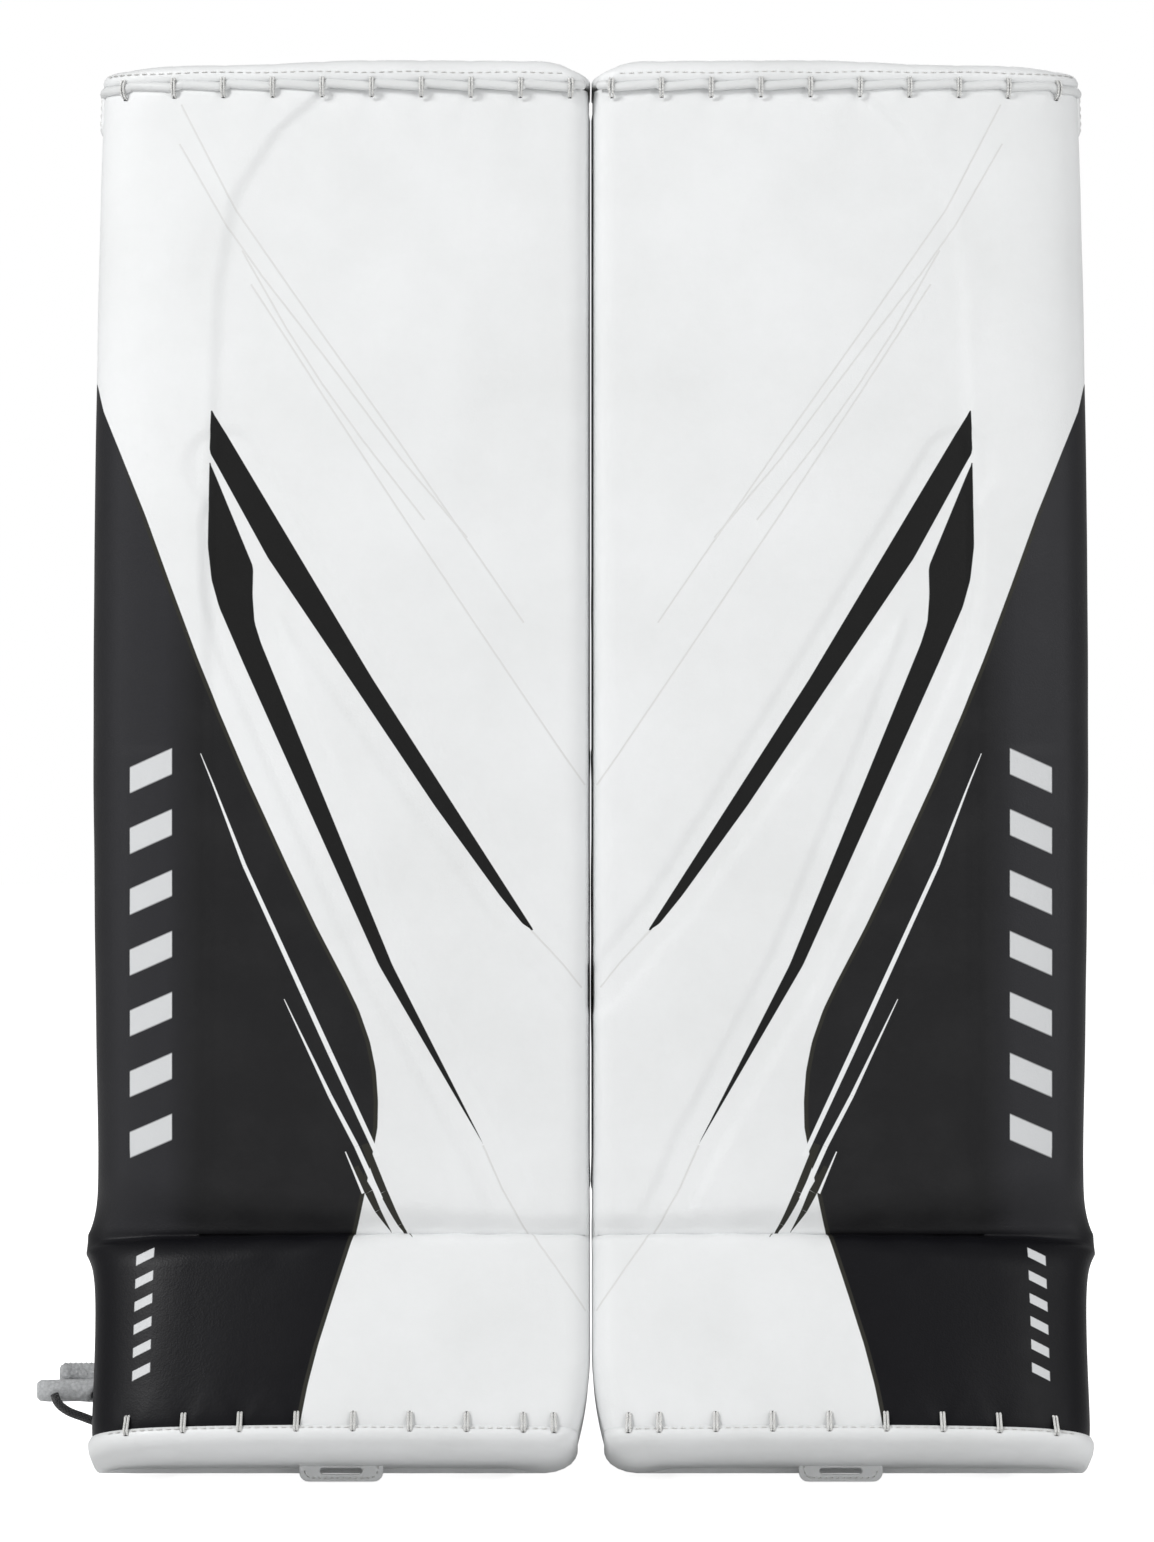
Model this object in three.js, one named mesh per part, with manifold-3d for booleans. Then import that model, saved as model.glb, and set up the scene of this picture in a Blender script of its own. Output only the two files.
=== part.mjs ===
// A pair of ice hockey goalie leg pads, standing upright side by side.
// Millimetres, +Z up, playing faces towards -Y. Each pad is drawn once, outer side towards +X:
// u runs from the pad's centre line outwards, and the left pad is the mirror image of the right.
import * as THREE from 'three';
import { mergeVertices } from 'three/addons/utils/BufferGeometryUtils.js';
import Module from 'manifold-3d';

const wasm = await Module();
wasm.setup();

// Driving dimensions of one pad
const HALF_WIDTH = 141;
const PAD_GAP = 2;
const TOP_Z = 803;
const SKIN = 3;
const CLEAR = 0.3;
const BACK_Y = 66;
const BOARD = 3;
const PANEL = 3;
const REAR_Y = BACK_Y + CLEAR + PANEL;

// Face: crowned between the inner edge and the outer roll
const INNER_ROUND = 16;
const CROWN = 4;
const ROLL_EDGE = 82;
const ROLL_DEPTH = 34;
const CURVE_STEPS = 4;
const WAIST_Z = 430;
const THIGH_LEAN = 12;
const THIGH_TAPER = 8;
const SHIN_TAPER = 4;

// Top binding
const SKIN_TOP_Z = 786;
const PIPING_RADIUS = 2.4;
const PIPING_Z = SKIN_TOP_Z + CLEAR + PIPING_RADIUS;
const CAP_BOTTOM_Z = PIPING_Z + PIPING_RADIUS + CLEAR;
const CAP_PROUD = 0.6;

// Boot break: the boot leans forward under the crease
const BREAK_Z = 139.5;
const CREASE_DEPTH = 12;
const CREASE_REACH = 40;
const BOOT_LIP = 14;
const CORE_CUT = Math.tan(THREE.MathUtils.degToRad(9));
const BOOT_TILT = THREE.MathUtils.degToRad(21);
const BOOT_ORIGIN_Z = 141.6;
const BOOT_TOP = -3;
const BOOT_SEAM = -114;
const BOOT_BOTTOM = -121;
const BOOT_BACK = 54;
const BOOT_OUTER = 139;
const TOE_PROUD = 2.5;
const TOE_CORNER = 18;

// Boot channel side panels and strap
const GUSSET_U = 92;
const GUSSET_THICK = 7;
const BOOT_STRAP_Z = [72, 97];
const WEBBING = 2.5;

// Rear padding
const CRADLE_THICK = 14;
const BLOCK_REAR_Y = 140;
const WEDGE_REAR_Y = 135;
const EDGE_THICK = 16;
const KNEE_Z = [430, 565];
const CALF_Z = [185, 415];

// Wings and their straps
const WING_THICK = 13;
const WING_AXIS = { u: 129.5, y: REAR_Y + 1 + WING_THICK / 2 };
const STRAP_THICK = 3;
const KNEE_STRAP_Z = [480, 530];
const CALF_STRAP_Z = [275, 320];

// Toe tie
const CORD_RADIUS = 2.5;
const SLEEVE_RADIUS = 6.5;
const SLEEVE_LENGTH = 49;
const EYELET = { u: 126, s: -100.5, thick: 2.3, bore: 3, radius: 6 };

const FINISHES = {
  white_leather: { color: 0xe9eaea, roughness: 0.45, metalness: 0 },
  foam: { color: 0xd9d6cc, roughness: 0.9, metalness: 0 },
  board: { color: 0x6f7275, roughness: 0.6, metalness: 0 },
  rear_fabric: { color: 0x2b2b2e, roughness: 0.9, metalness: 0 },
  liner: { color: 0x3a3b3e, roughness: 0.95, metalness: 0 },
  strap: { color: 0x1d1d1f, roughness: 0.85, metalness: 0 },
  loop_tape: { color: 0xc9cbcd, roughness: 0.95, metalness: 0 },
  buckle: { color: 0x18181a, roughness: 0.35, metalness: 0 },
  cord: { color: 0x131314, roughness: 0.8, metalness: 0 },
};

const clamp01 = (value) => Math.min(Math.max(value, 0), 1);
const smooth = (value) => value * value * (3 - 2 * value);

// A closed body through rings of [u, y, z] points, each anticlockwise from above, lowest first.
function loft(rings) {
  const count = rings[0].length;
  const top = (rings.length - 1) * count;
  const index = [];
  for (let i = 0; i < rings.length - 1; i += 1) {
    for (let j = 0; j < count; j += 1) {
      const a = i * count + j;
      const b = i * count + ((j + 1) % count);
      index.push(a, b, b + count, a, b + count, a + count);
    }
  }
  const flat = (ring) => ring.map(([u, y]) => new THREE.Vector2(u, y));
  for (const [a, b, c] of THREE.ShapeUtils.triangulateShape(flat(rings[0]), [])) {
    index.push(c, b, a);
  }
  for (const [a, b, c] of THREE.ShapeUtils.triangulateShape(flat(rings.at(-1)), [])) {
    index.push(top + a, top + b, top + c);
  }
  const geometry = new THREE.BufferGeometry();
  geometry.setAttribute('position', new THREE.Float32BufferAttribute(rings.flat(2), 3));
  geometry.setIndex(index);
  return geometry;
}

// A line moved sideways, to its left, by the given distance.
function offsetLine(points, distance) {
  const normal = (a, b) => {
    const length = Math.hypot(b[0] - a[0], b[1] - a[1]);
    return [(a[1] - b[1]) / length, (b[0] - a[0]) / length];
  };
  return points.map((point, i) => {
    const before = normal(points[Math.max(i - 1, 0)], points[Math.max(i, 1)]);
    const last = points.length - 1;
    const after = normal(points[Math.min(i, last - 1)], points[Math.min(i + 1, last)]);
    const sum = [before[0] + after[0], before[1] + after[1]];
    const scale = (2 * distance) / (sum[0] ** 2 + sum[1] ** 2);
    return [point[0] + sum[0] * scale, point[1] + sum[1] * scale];
  });
}

// The front of a level section, from the inner side's rear end round to the outer side's.
function frontLine(depth, inner, outer, back) {
  const line = new THREE.Path();
  line.moveTo(inner, back);
  line.lineTo(inner, depth + INNER_ROUND);
  line.quadraticCurveTo(inner, depth, inner + INNER_ROUND, depth);
  line.quadraticCurveTo(0, depth - 2 * CROWN, ROLL_EDGE, depth);
  line.quadraticCurveTo(outer, depth + ROLL_DEPTH / 8, outer, depth + ROLL_DEPTH);
  line.lineTo(outer, back);
  return line.getPoints(CURVE_STEPS).map((p) => [p.x, p.y]);
}

const at = (points, z) => points.map(([u, y]) => [u, y, typeof z === 'function' ? z(y) : z]);
const solidSection = (line, inset) => offsetLine(line, inset);
const shellSection = (line) => [...line, ...offsetLine(line, SKIN).reverse()];

// Where the face of the upper pad lies at height z, and how far out its outer side reaches.
function faceDepth(z) {
  const lean = THIGH_LEAN * clamp01((z - WAIST_Z) / (TOP_Z - WAIST_Z)) ** 2;
  const crease = CREASE_DEPTH * (1 - smooth(clamp01((z - BREAK_Z) / CREASE_REACH)));
  return crease - lean;
}
function outerEdge(z) {
  const thigh = clamp01((z - WAIST_Z) / (TOP_Z - WAIST_Z)) ** 2;
  const shin = clamp01((WAIST_Z - z) / (WAIST_Z - BREAK_Z)) ** 2;
  return HALF_WIDTH + 1 - THIGH_TAPER * thigh - SHIN_TAPER * shin;
}
const upperLine = (z, back) => frontLine(faceDepth(z), -HALF_WIDTH, outerEdge(z), back);
const breakPlane = (y) => BREAK_Z - CORE_CUT * Math.max(0, y - CREASE_DEPTH);
const UPPER_LEVELS = [BREAK_Z + 8, BREAK_Z + 20, BREAK_Z + CREASE_REACH, WAIST_Z, 620, 720];

function faceSkin() {
  const levels = [...UPPER_LEVELS, SKIN_TOP_Z];
  const section = (z) => shellSection(upperLine(z, BACK_Y));
  return loft([at(section(BREAK_Z), breakPlane), ...levels.map((z) => at(section(z), z))]);
}
function core() {
  const back = BACK_Y - BOARD - CLEAR;
  const levels = [...UPPER_LEVELS, CAP_BOTTOM_Z - CLEAR];
  const section = (z) => solidSection(upperLine(z, back), SKIN + CLEAR);
  return loft([at(section(BREAK_Z), breakPlane), ...levels.map((z) => at(section(z), z))]);
}

// A box with rounded upright edges and bevelled ends, its flat rear face at y = rear.
function pillow(uRange, zRange, front, rear, corner, bevel) {
  const [left, right] = uRange;
  const [low, high] = zRange;
  const shape = new THREE.Shape();
  shape.moveTo(left + corner, low);
  shape.lineTo(right - corner, low);
  shape.quadraticCurveTo(right, low, right, low + corner);
  shape.lineTo(right, high - corner);
  shape.quadraticCurveTo(right, high, right - corner, high);
  shape.lineTo(left + corner, high);
  shape.quadraticCurveTo(left, high, left, high - corner);
  shape.lineTo(left, low + corner);
  shape.quadraticCurveTo(left, low, left + corner, low);
  const body = new THREE.ExtrudeGeometry(shape, {
    depth: rear - front - 2 * bevel,
    bevelEnabled: bevel > 0,
    bevelThickness: bevel,
    bevelSize: bevel,
    bevelOffset: -bevel,
    bevelSegments: 1,
    curveSegments: 2,
  });
  return body.rotateX(Math.PI / 2).translate(0, rear - bevel, 0);
}

// The tall cover of the pad's top end, with rounded upper edges.
function topCap() {
  const line = upperLine(TOP_Z, REAR_Y);
  const rounding = TOP_Z - CAP_BOTTOM_Z;
  return loft([
    at(offsetLine(line, -CAP_PROUD), CAP_BOTTOM_Z),
    at(offsetLine(line, 0), TOP_Z - 0.45 * rounding),
    at(offsetLine(line, 0.3 * rounding), TOP_Z - 0.12 * rounding),
    at(offsetLine(line, 0.8 * rounding), TOP_Z),
  ]);
}

// A round bead or cord: an even section along a smooth curve.
function tube(points, radius, sides, steps, tension) {
  const section = new THREE.Shape();
  for (let i = 0; i < sides; i += 1) {
    const angle = (2 * Math.PI * i) / sides;
    const corner = [radius * Math.cos(angle), radius * Math.sin(angle)];
    if (i === 0) section.moveTo(...corner);
    else section.lineTo(...corner);
  }
  section.closePath();
  const route = points.map((p) => new THREE.Vector3(...p));
  const path = new THREE.CatmullRomCurve3(route, false, 'catmullrom', tension);
  return new THREE.ExtrudeGeometry(section, { steps, bevelEnabled: false, extrudePath: path });
}
// The bead starts halfway round the inner corner, where the two pads would otherwise touch.
function topPiping() {
  const line = offsetLine(upperLine(SKIN_TOP_Z, BACK_Y), -0.1).slice(3);
  return tube(at(line, PIPING_Z), PIPING_RADIUS, 8, 30, 0.3);
}

// An upright wall of even thickness along a level line, such as a wing or a strap.
function wall(line, thickness, zRange) {
  const ring = [...line, ...offsetLine(line, thickness).reverse()];
  return loft([at(ring, zRange[0]), at(ring, zRange[1])]);
}

// Outer face of a wing, from the round root at its hinge back and in round the leg.
function wingLine(reach, curl) {
  const line = new THREE.Path();
  const { u, y } = WING_AXIS;
  const half = WING_THICK / 2;
  line.moveTo(u + half, y);
  line.lineTo(u + half, y + 0.35 * reach);
  line.quadraticCurveTo(u + half, y + 0.85 * reach, u + half - curl, y + reach);
  return line.getPoints(CURVE_STEPS).map((p) => [p.x, p.y]);
}
function wing(reach, curl, zRange) {
  const outerFace = wingLine(reach, curl);
  const innerFace = offsetLine(outerFace, WING_THICK).reverse();
  const root = [1, 2, 3].map((i) => {
    const angle = Math.PI + (Math.PI * i) / 4;
    const half = WING_THICK / 2;
    return [WING_AXIS.u + half * Math.cos(angle), WING_AXIS.y + half * Math.sin(angle)];
  });
  const ring = [...outerFace, ...innerFace, ...root];
  return loft([at(ring, zRange[0]), at(ring, zRange[1])]);
}

// A leg strap: along the wing's outer face, across behind the leg, and on to the inner pad.
function strapLine(reach, curl, restY) {
  const outside = -(STRAP_THICK + CLEAR);
  const onWing = offsetLine(wingLine(reach, curl), outside).slice(1);
  const end = onWing.at(-1);
  const line = new THREE.Path();
  line.moveTo(...end);
  const behind = restY + STRAP_THICK + CLEAR + 22;
  line.bezierCurveTo(end[0] - 22, end[1] + 14, 40, behind, 0, behind);
  line.bezierCurveTo(-45, behind, -70, restY + STRAP_THICK + CLEAR, -98, restY + STRAP_THICK + CLEAR);
  line.lineTo(-136, restY + STRAP_THICK + CLEAR);
  return [...onWing, ...line.getPoints(CURVE_STEPS + 1).slice(1).map((p) => [p.x, p.y])];
}
const strap = (reach, curl, restY, zRange) => wall(strapLine(reach, curl, restY), STRAP_THICK, zRange);

// Boot pieces, in the boot's own leaning frame: s runs up from the toe, 0 at the crease.
function bootLine(s, back) {
  const depth = CREASE_DEPTH * (1 - smooth(clamp01((BOOT_TOP - s) / BOOT_LIP)));
  const drop = clamp01((BOOT_TOP - s - 60) / (BOOT_TOP - BOOT_SEAM - 60));
  return frontLine(depth, -HALF_WIDTH + 0.4 * TOE_CORNER * drop ** 2, BOOT_OUTER, back);
}
const BOOT_LEVELS = [BOOT_SEAM + CLEAR, -95, -70, -17, -12, -7, BOOT_TOP];

const bootSkin = () => loft(BOOT_LEVELS.map((s) => at(shellSection(bootLine(s, BOOT_BACK)), s)));
const bootCore = () => loft(
  BOOT_LEVELS.map((s) => at(solidSection(bootLine(s, BOOT_BACK), SKIN + CLEAR), s)),
);
function toeCap() {
  const line = bootLine(BOOT_SEAM, BOOT_BACK + CLEAR + PANEL);
  return loft([
    at(offsetLine(line, 3), BOOT_BOTTOM),
    at(offsetLine(line, -0.4 * TOE_PROUD), BOOT_BOTTOM + 2.5),
    at(offsetLine(line, -TOE_PROUD), BOOT_SEAM - 1.5),
    at(offsetLine(line, -0.5 * TOE_PROUD), BOOT_SEAM),
  ]);
}

// Moves an outline drawn in (y, z) and extruded along its third axis so that it extrudes along u.
const ACROSS = new THREE.Matrix4().set(0, 0, 1, 0, 1, 0, 0, 0, 0, 1, 0, 0, 0, 0, 0, 1);
function sidePlate(outline, uStart, width) {
  const shape = new THREE.Shape(outline.map(([y, z]) => new THREE.Vector2(y, z)));
  const plate = new THREE.ExtrudeGeometry(shape, { depth: width, bevelEnabled: false });
  return plate.applyMatrix4(ACROSS).translate(uStart, 0, 0);
}

// A point given in the boot's leaning frame, as (y, z) of the pad.
function fromBoot(t, s) {
  const cos = Math.cos(BOOT_TILT);
  const sin = Math.sin(BOOT_TILT);
  return [t * cos + s * sin, BOOT_ORIGIN_Z - t * sin + s * cos];
}
const BOOT_REAR = BOOT_BACK + 2 * CLEAR + PANEL;

function gusset(uStart) {
  return sidePlate([
    fromBoot(BOOT_REAR, -100),
    [30, 0],
    [84, 0],
    [87, 20],
    [85, 60],
    [80, 96],
    [72, 110],
    fromBoot(BOOT_REAR, -9),
  ], uStart, GUSSET_THICK);
}
function bootStrap() {
  const side = GUSSET_U + GUSSET_THICK + CLEAR + WEBBING;
  const line = new THREE.Path();
  line.moveTo(side, 54);
  line.lineTo(side, 87);
  line.bezierCurveTo(side, 108, 60, 114, 0, 114);
  line.bezierCurveTo(-60, 114, -side, 108, -side, 87);
  line.lineTo(-side, 54);
  return wall(line.getPoints(8).map((p) => [p.x, p.y]), WEBBING, BOOT_STRAP_Z);
}
function bootBuckle() {
  const frameWidth = BOOT_STRAP_Z[1] - BOOT_STRAP_Z[0] + 8;
  const frame = new THREE.Shape();
  frame.absellipse(0, 0, 13, frameWidth / 2, 0, 2 * Math.PI);
  const body = new THREE.ExtrudeGeometry(frame, { depth: 5, bevelEnabled: false, curveSegments: 7 });
  const u = GUSSET_U + GUSSET_THICK + 2 * CLEAR + WEBBING;
  return body.applyMatrix4(ACROSS).translate(u, 64, (BOOT_STRAP_Z[0] + BOOT_STRAP_Z[1]) / 2);
}

// A solid cut by another.
function solid(geometry) {
  const bare = new THREE.BufferGeometry();
  bare.setAttribute('position', geometry.attributes.position.clone());
  if (geometry.index) bare.setIndex(geometry.index.clone());
  const merged = mergeVertices(bare, 1e-4);
  return new wasm.Manifold(new wasm.Mesh({
    numProp: 3,
    vertProperties: new Float32Array(merged.attributes.position.array),
    triVerts: new Uint32Array(merged.index.array),
  }));
}
function cut(geometry, cutter) {
  const mesh = solid(geometry).subtract(solid(cutter)).getMesh();
  const result = new THREE.BufferGeometry();
  result.setAttribute('position', new THREE.BufferAttribute(mesh.vertProperties, 3));
  result.setIndex(new THREE.BufferAttribute(mesh.triVerts, 1));
  return result;
}

// The leather tab sewn under the toe, which bends down to the floor and has a slot for the toe tie.
function toeTab() {
  const thick = 3;
  const rootTop = BOOT_BOTTOM - CLEAR;
  const [rootFront, rootRear] = [41, 54];
  const front = fromBoot(rootFront, rootTop);
  const plate = sidePlate([
    front,
    [front[0], 0],
    [front[0] + thick, 0],
    fromBoot(rootFront + 4.4, rootTop - thick),
    fromBoot(rootRear, rootTop - thick),
    fromBoot(rootRear, rootTop),
  ], -24.5, 47.5);
  const slot = new THREE.BoxGeometry(24, 1.6 * thick, 3.2).translate(-0.75, front[0] + thick / 2, 5.6);
  return cut(plate, slot);
}
function toeEyelet() {
  const ring = [
    [EYELET.bore, 0],
    [EYELET.radius, 0],
    [EYELET.radius - 0.5, EYELET.thick],
    [EYELET.bore + 0.4, EYELET.thick],
    [EYELET.bore, 0],
  ].map(([r, h]) => new THREE.Vector2(r, h));
  return new THREE.LatheGeometry(ring, 16).translate(EYELET.u, BOOT_REAR, EYELET.s);
}

// Toe tie: a strap end and its rolled sleeve, drawn along +X from the sleeve's near end.
function toeSleeve() {
  const rim = SLEEVE_RADIUS;
  const profile = [
    [0, 0], [rim - 1.5, 0], [rim, 1.5], [rim, SLEEVE_LENGTH - 4], [rim - 3, SLEEVE_LENGTH],
    [0, SLEEVE_LENGTH],
  ].map(([r, h]) => new THREE.Vector2(r, h));
  return new THREE.LatheGeometry(profile, 12).rotateZ(-Math.PI / 2);
}
const toeStrap = () => pillow([1, 37], [2, 15], SLEEVE_RADIUS + CLEAR, SLEEVE_RADIUS + 4, 3, 0);

// Route of the elastic cord out of the eyelet to the sleeve, in the pad's own axes.
const [EYELET_Y, EYELET_Z] = fromBoot(BOOT_REAR + EYELET.thick + 1.2, EYELET.s);
const CORD_ROUTES = {
  outward: [
    [126, EYELET_Y, EYELET_Z], [126.4, EYELET_Y + 6, EYELET_Z - 2], [129, 31, EYELET_Z - 2],
    [137, 33, 27], [148, 31.5, 31.5], [157, 29.5, 35.3], [162.8, 29.5, 39.8], [165.4, 31.2, 45],
  ],
  folded: [
    [126, EYELET_Y, EYELET_Z], [126.4, EYELET_Y + 6, EYELET_Z - 2], [128, 34, EYELET_Z - 3],
    [131, 42, 24], [134, 51, 27], [136, 60, 32], [136.4, 67, 38], [136, 72, 44],
  ],
};
const TOE_TIES = {
  left: { route: CORD_ROUTES.outward, place: [127, 40.5, 46], turn: 0 },
  right: { route: CORD_ROUTES.folded, place: [126.5, 40, 46], turn: Math.PI / 2 },
};

function mirrored(geometry) {
  const copy = geometry.clone().scale(-1, 1, 1);
  const count = copy.attributes.position.count;
  const order = copy.index ? Array.from(copy.index.array) : Array.from({ length: count }, (_, i) => i);
  for (let i = 0; i < order.length; i += 3) {
    [order[i + 1], order[i + 2]] = [order[i + 2], order[i + 1]];
  }
  copy.setIndex(order);
  return copy;
}

function pad(side) {
  const sign = side === 'left' ? -1 : 1;
  const group = new THREE.Group();
  group.position.x = sign * (PAD_GAP / 2 + HALF_WIDTH);
  const add = (parent, name, geometry, finish) => {
    const shape = sign < 0 ? mirrored(geometry) : geometry;
    shape.computeVertexNormals();
    const mesh = new THREE.Mesh(shape, new THREE.MeshStandardMaterial(FINISHES[finish]));
    mesh.name = `${side}_${name}`;
    parent.add(mesh);
  };

  // Upper pad
  add(group, 'core', core(), 'foam');
  add(group, 'spine_board', pillow([-118, 112], [160, 770], BACK_Y - BOARD, BACK_Y, 20, 0), 'board');
  add(group, 'face_skin', faceSkin(), 'white_leather');
  add(group, 'top_piping', topPiping(), 'white_leather');
  add(group, 'top_cap', topCap(), 'white_leather');
  const panelZ = [BREAK_Z + 10, CAP_BOTTOM_Z - CLEAR];
  add(group, 'back_panel', pillow([-140, 133], panelZ, BACK_Y + CLEAR, REAR_Y, 10, 0), 'rear_fabric');

  // Padding behind the leg channel's floor and inner side
  const floorY = REAR_Y + CLEAR;
  const edgeY = floorY + EDGE_THICK;
  add(group, 'slide_edge', pillow([-141, -98], [150, 424], floorY, edgeY, 6, 4), 'white_leather');
  add(group, 'calf_wedge', pillow([-141, -97], CALF_Z, edgeY + CLEAR, WEDGE_REAR_Y, 8, 6), 'liner');
  add(group, 'knee_block', pillow([-141, -75], KNEE_Z, floorY, BLOCK_REAR_Y, 8, 8), 'liner');
  add(group, 'knee_cradle', pillow([-70, 108], KNEE_Z, floorY, floorY + CRADLE_THICK, 18, 5), 'liner');
  add(group, 'shin_cradle', pillow([-62, 72], [165, 415], floorY, floorY + CRADLE_THICK, 18, 5), 'liner');

  // Wings on the outer side, each with its strap
  add(group, 'knee_wing', wing(72, 24, [KNEE_Z[0] - 5, KNEE_Z[1] + 10]), 'rear_fabric');
  add(group, 'knee_strap', strap(72, 24, BLOCK_REAR_Y, KNEE_STRAP_Z), 'strap');
  add(group, 'calf_wing', wing(62, 18, [CALF_Z[0] - 5, CALF_Z[1] - 5]), 'rear_fabric');
  add(group, 'calf_strap', strap(62, 18, WEDGE_REAR_Y, CALF_STRAP_Z), 'strap');

  // Boot, leaning forward from the crease
  const boot = new THREE.Group();
  boot.position.z = BOOT_ORIGIN_Z;
  boot.rotation.x = -BOOT_TILT;
  group.add(boot);
  add(boot, 'boot_core', bootCore(), 'foam');
  add(boot, 'boot_skin', bootSkin(), 'white_leather');
  add(boot, 'toe_cap', toeCap(), 'white_leather');
  const bootPanelS = [BOOT_SEAM + CLEAR, BOOT_TOP - 5];
  const bootPanelY = BOOT_BACK + CLEAR;
  add(boot, 'boot_back_panel',
    pillow([-132, 137], bootPanelS, bootPanelY, bootPanelY + PANEL, 6, 0), 'rear_fabric');
  add(boot, 'toe_eyelet', toeEyelet(), 'buckle');
  add(group, 'toe_tab', toeTab(), 'white_leather');
  add(group, 'boot_gusset_outer', gusset(GUSSET_U), 'rear_fabric');
  add(group, 'boot_gusset_inner', gusset(-GUSSET_U - GUSSET_THICK), 'rear_fabric');
  add(group, 'boot_strap', bootStrap(), 'strap');
  add(group, 'boot_buckle', bootBuckle(), 'buckle');

  // Toe tie: on the left pad it lies outwards, on the right it is folded back beside the boot
  const tie = TOE_TIES[side];
  const tieGroup = new THREE.Group();
  tieGroup.position.set(sign * tie.place[0], tie.place[1], tie.place[2]);
  tieGroup.rotation.z = sign * tie.turn;
  group.add(tieGroup);
  add(tieGroup, 'toe_sleeve', toeSleeve(), 'loop_tape');
  add(tieGroup, 'toe_strap', toeStrap(), 'loop_tape');
  add(group, 'toe_cord', tube(tie.route, CORD_RADIUS, 8, 22, 0.5), 'cord');
  return group;
}

const pads = new THREE.Group();
pads.add(pad('left'), pad('right'));

// The origin is on the floor, midway between the two pads and halfway through their depth.
const reach = new THREE.Box3().setFromObject(pads, true);
pads.position.y = -(reach.min.y + reach.max.y) / 2;

export default pads;
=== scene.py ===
import math

import bpy
import numpy as np
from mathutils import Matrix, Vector
from mathutils.bvhtree import BVHTree


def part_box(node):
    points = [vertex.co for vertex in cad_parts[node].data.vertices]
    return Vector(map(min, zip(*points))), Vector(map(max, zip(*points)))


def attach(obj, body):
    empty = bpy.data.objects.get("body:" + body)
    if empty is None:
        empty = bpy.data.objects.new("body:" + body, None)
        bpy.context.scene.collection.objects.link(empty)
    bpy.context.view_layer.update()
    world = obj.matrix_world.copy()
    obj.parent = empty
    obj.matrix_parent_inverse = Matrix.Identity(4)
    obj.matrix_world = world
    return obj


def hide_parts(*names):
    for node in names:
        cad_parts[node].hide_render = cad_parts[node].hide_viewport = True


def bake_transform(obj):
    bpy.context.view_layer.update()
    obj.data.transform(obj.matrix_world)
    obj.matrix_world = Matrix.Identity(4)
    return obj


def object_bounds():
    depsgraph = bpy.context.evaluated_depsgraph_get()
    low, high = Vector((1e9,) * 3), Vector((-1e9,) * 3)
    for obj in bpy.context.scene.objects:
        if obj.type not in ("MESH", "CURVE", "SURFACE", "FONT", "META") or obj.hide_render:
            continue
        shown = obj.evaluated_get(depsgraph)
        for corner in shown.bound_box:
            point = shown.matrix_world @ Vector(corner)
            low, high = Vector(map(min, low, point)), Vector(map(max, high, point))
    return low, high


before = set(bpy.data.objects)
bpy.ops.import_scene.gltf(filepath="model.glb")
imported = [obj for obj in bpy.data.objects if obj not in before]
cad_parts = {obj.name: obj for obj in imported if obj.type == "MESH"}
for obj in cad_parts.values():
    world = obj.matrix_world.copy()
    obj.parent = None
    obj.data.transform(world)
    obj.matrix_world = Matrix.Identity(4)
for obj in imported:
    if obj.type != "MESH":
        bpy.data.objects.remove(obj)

# Everything is drawn once, in one pad's own axes and in millimetres: u outwards from its centre
# line, y back from its face and z up. place() turns that into metres on the pad of either side.
MM = 0.001
SIDES = {"left": -1, "right": 1}
CAD_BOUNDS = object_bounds()
HALF_WIDTH = 141.0
BACK_Y = 66.0
SKIN_LOW, SKIN_HIGH = (np.array(corner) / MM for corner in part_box("right_face_skin"))
CENTRE_X = SKIN_LOW[0] + HALF_WIDTH
FACE_Y = SKIN_HIGH[1] - BACK_Y
TOP_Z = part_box("right_top_cap")[1].z / MM
BREAK_Z = 139.5


def own_box(node):
    """Lowest and highest corner of a node of the right pad, in the pad's own axes."""
    offset = np.array([CENTRE_X, FACE_Y, 0.0])
    return [np.array(corner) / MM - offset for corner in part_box("right_" + node)]


def place(points, side):
    """Points in a pad's own axes, as metres in the shared frame."""
    points = np.asarray(points, float).reshape(-1, 3)
    x = SIDES[side] * (CENTRE_X + points[:, 0])
    return np.column_stack([x, FACE_Y + points[:, 1], points[:, 2]]) * MM


def ramp(x, start, end):
    return np.clip((np.asarray(x, float) - start) / (end - start), 0, 1)


def ease(x, start, end):
    r = ramp(x, start, end)
    return r * r * (3 - 2 * r)


def mix(a, b, share):
    return a + (b - a) * share


# ---------------------------------------------------------------- materials

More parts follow.
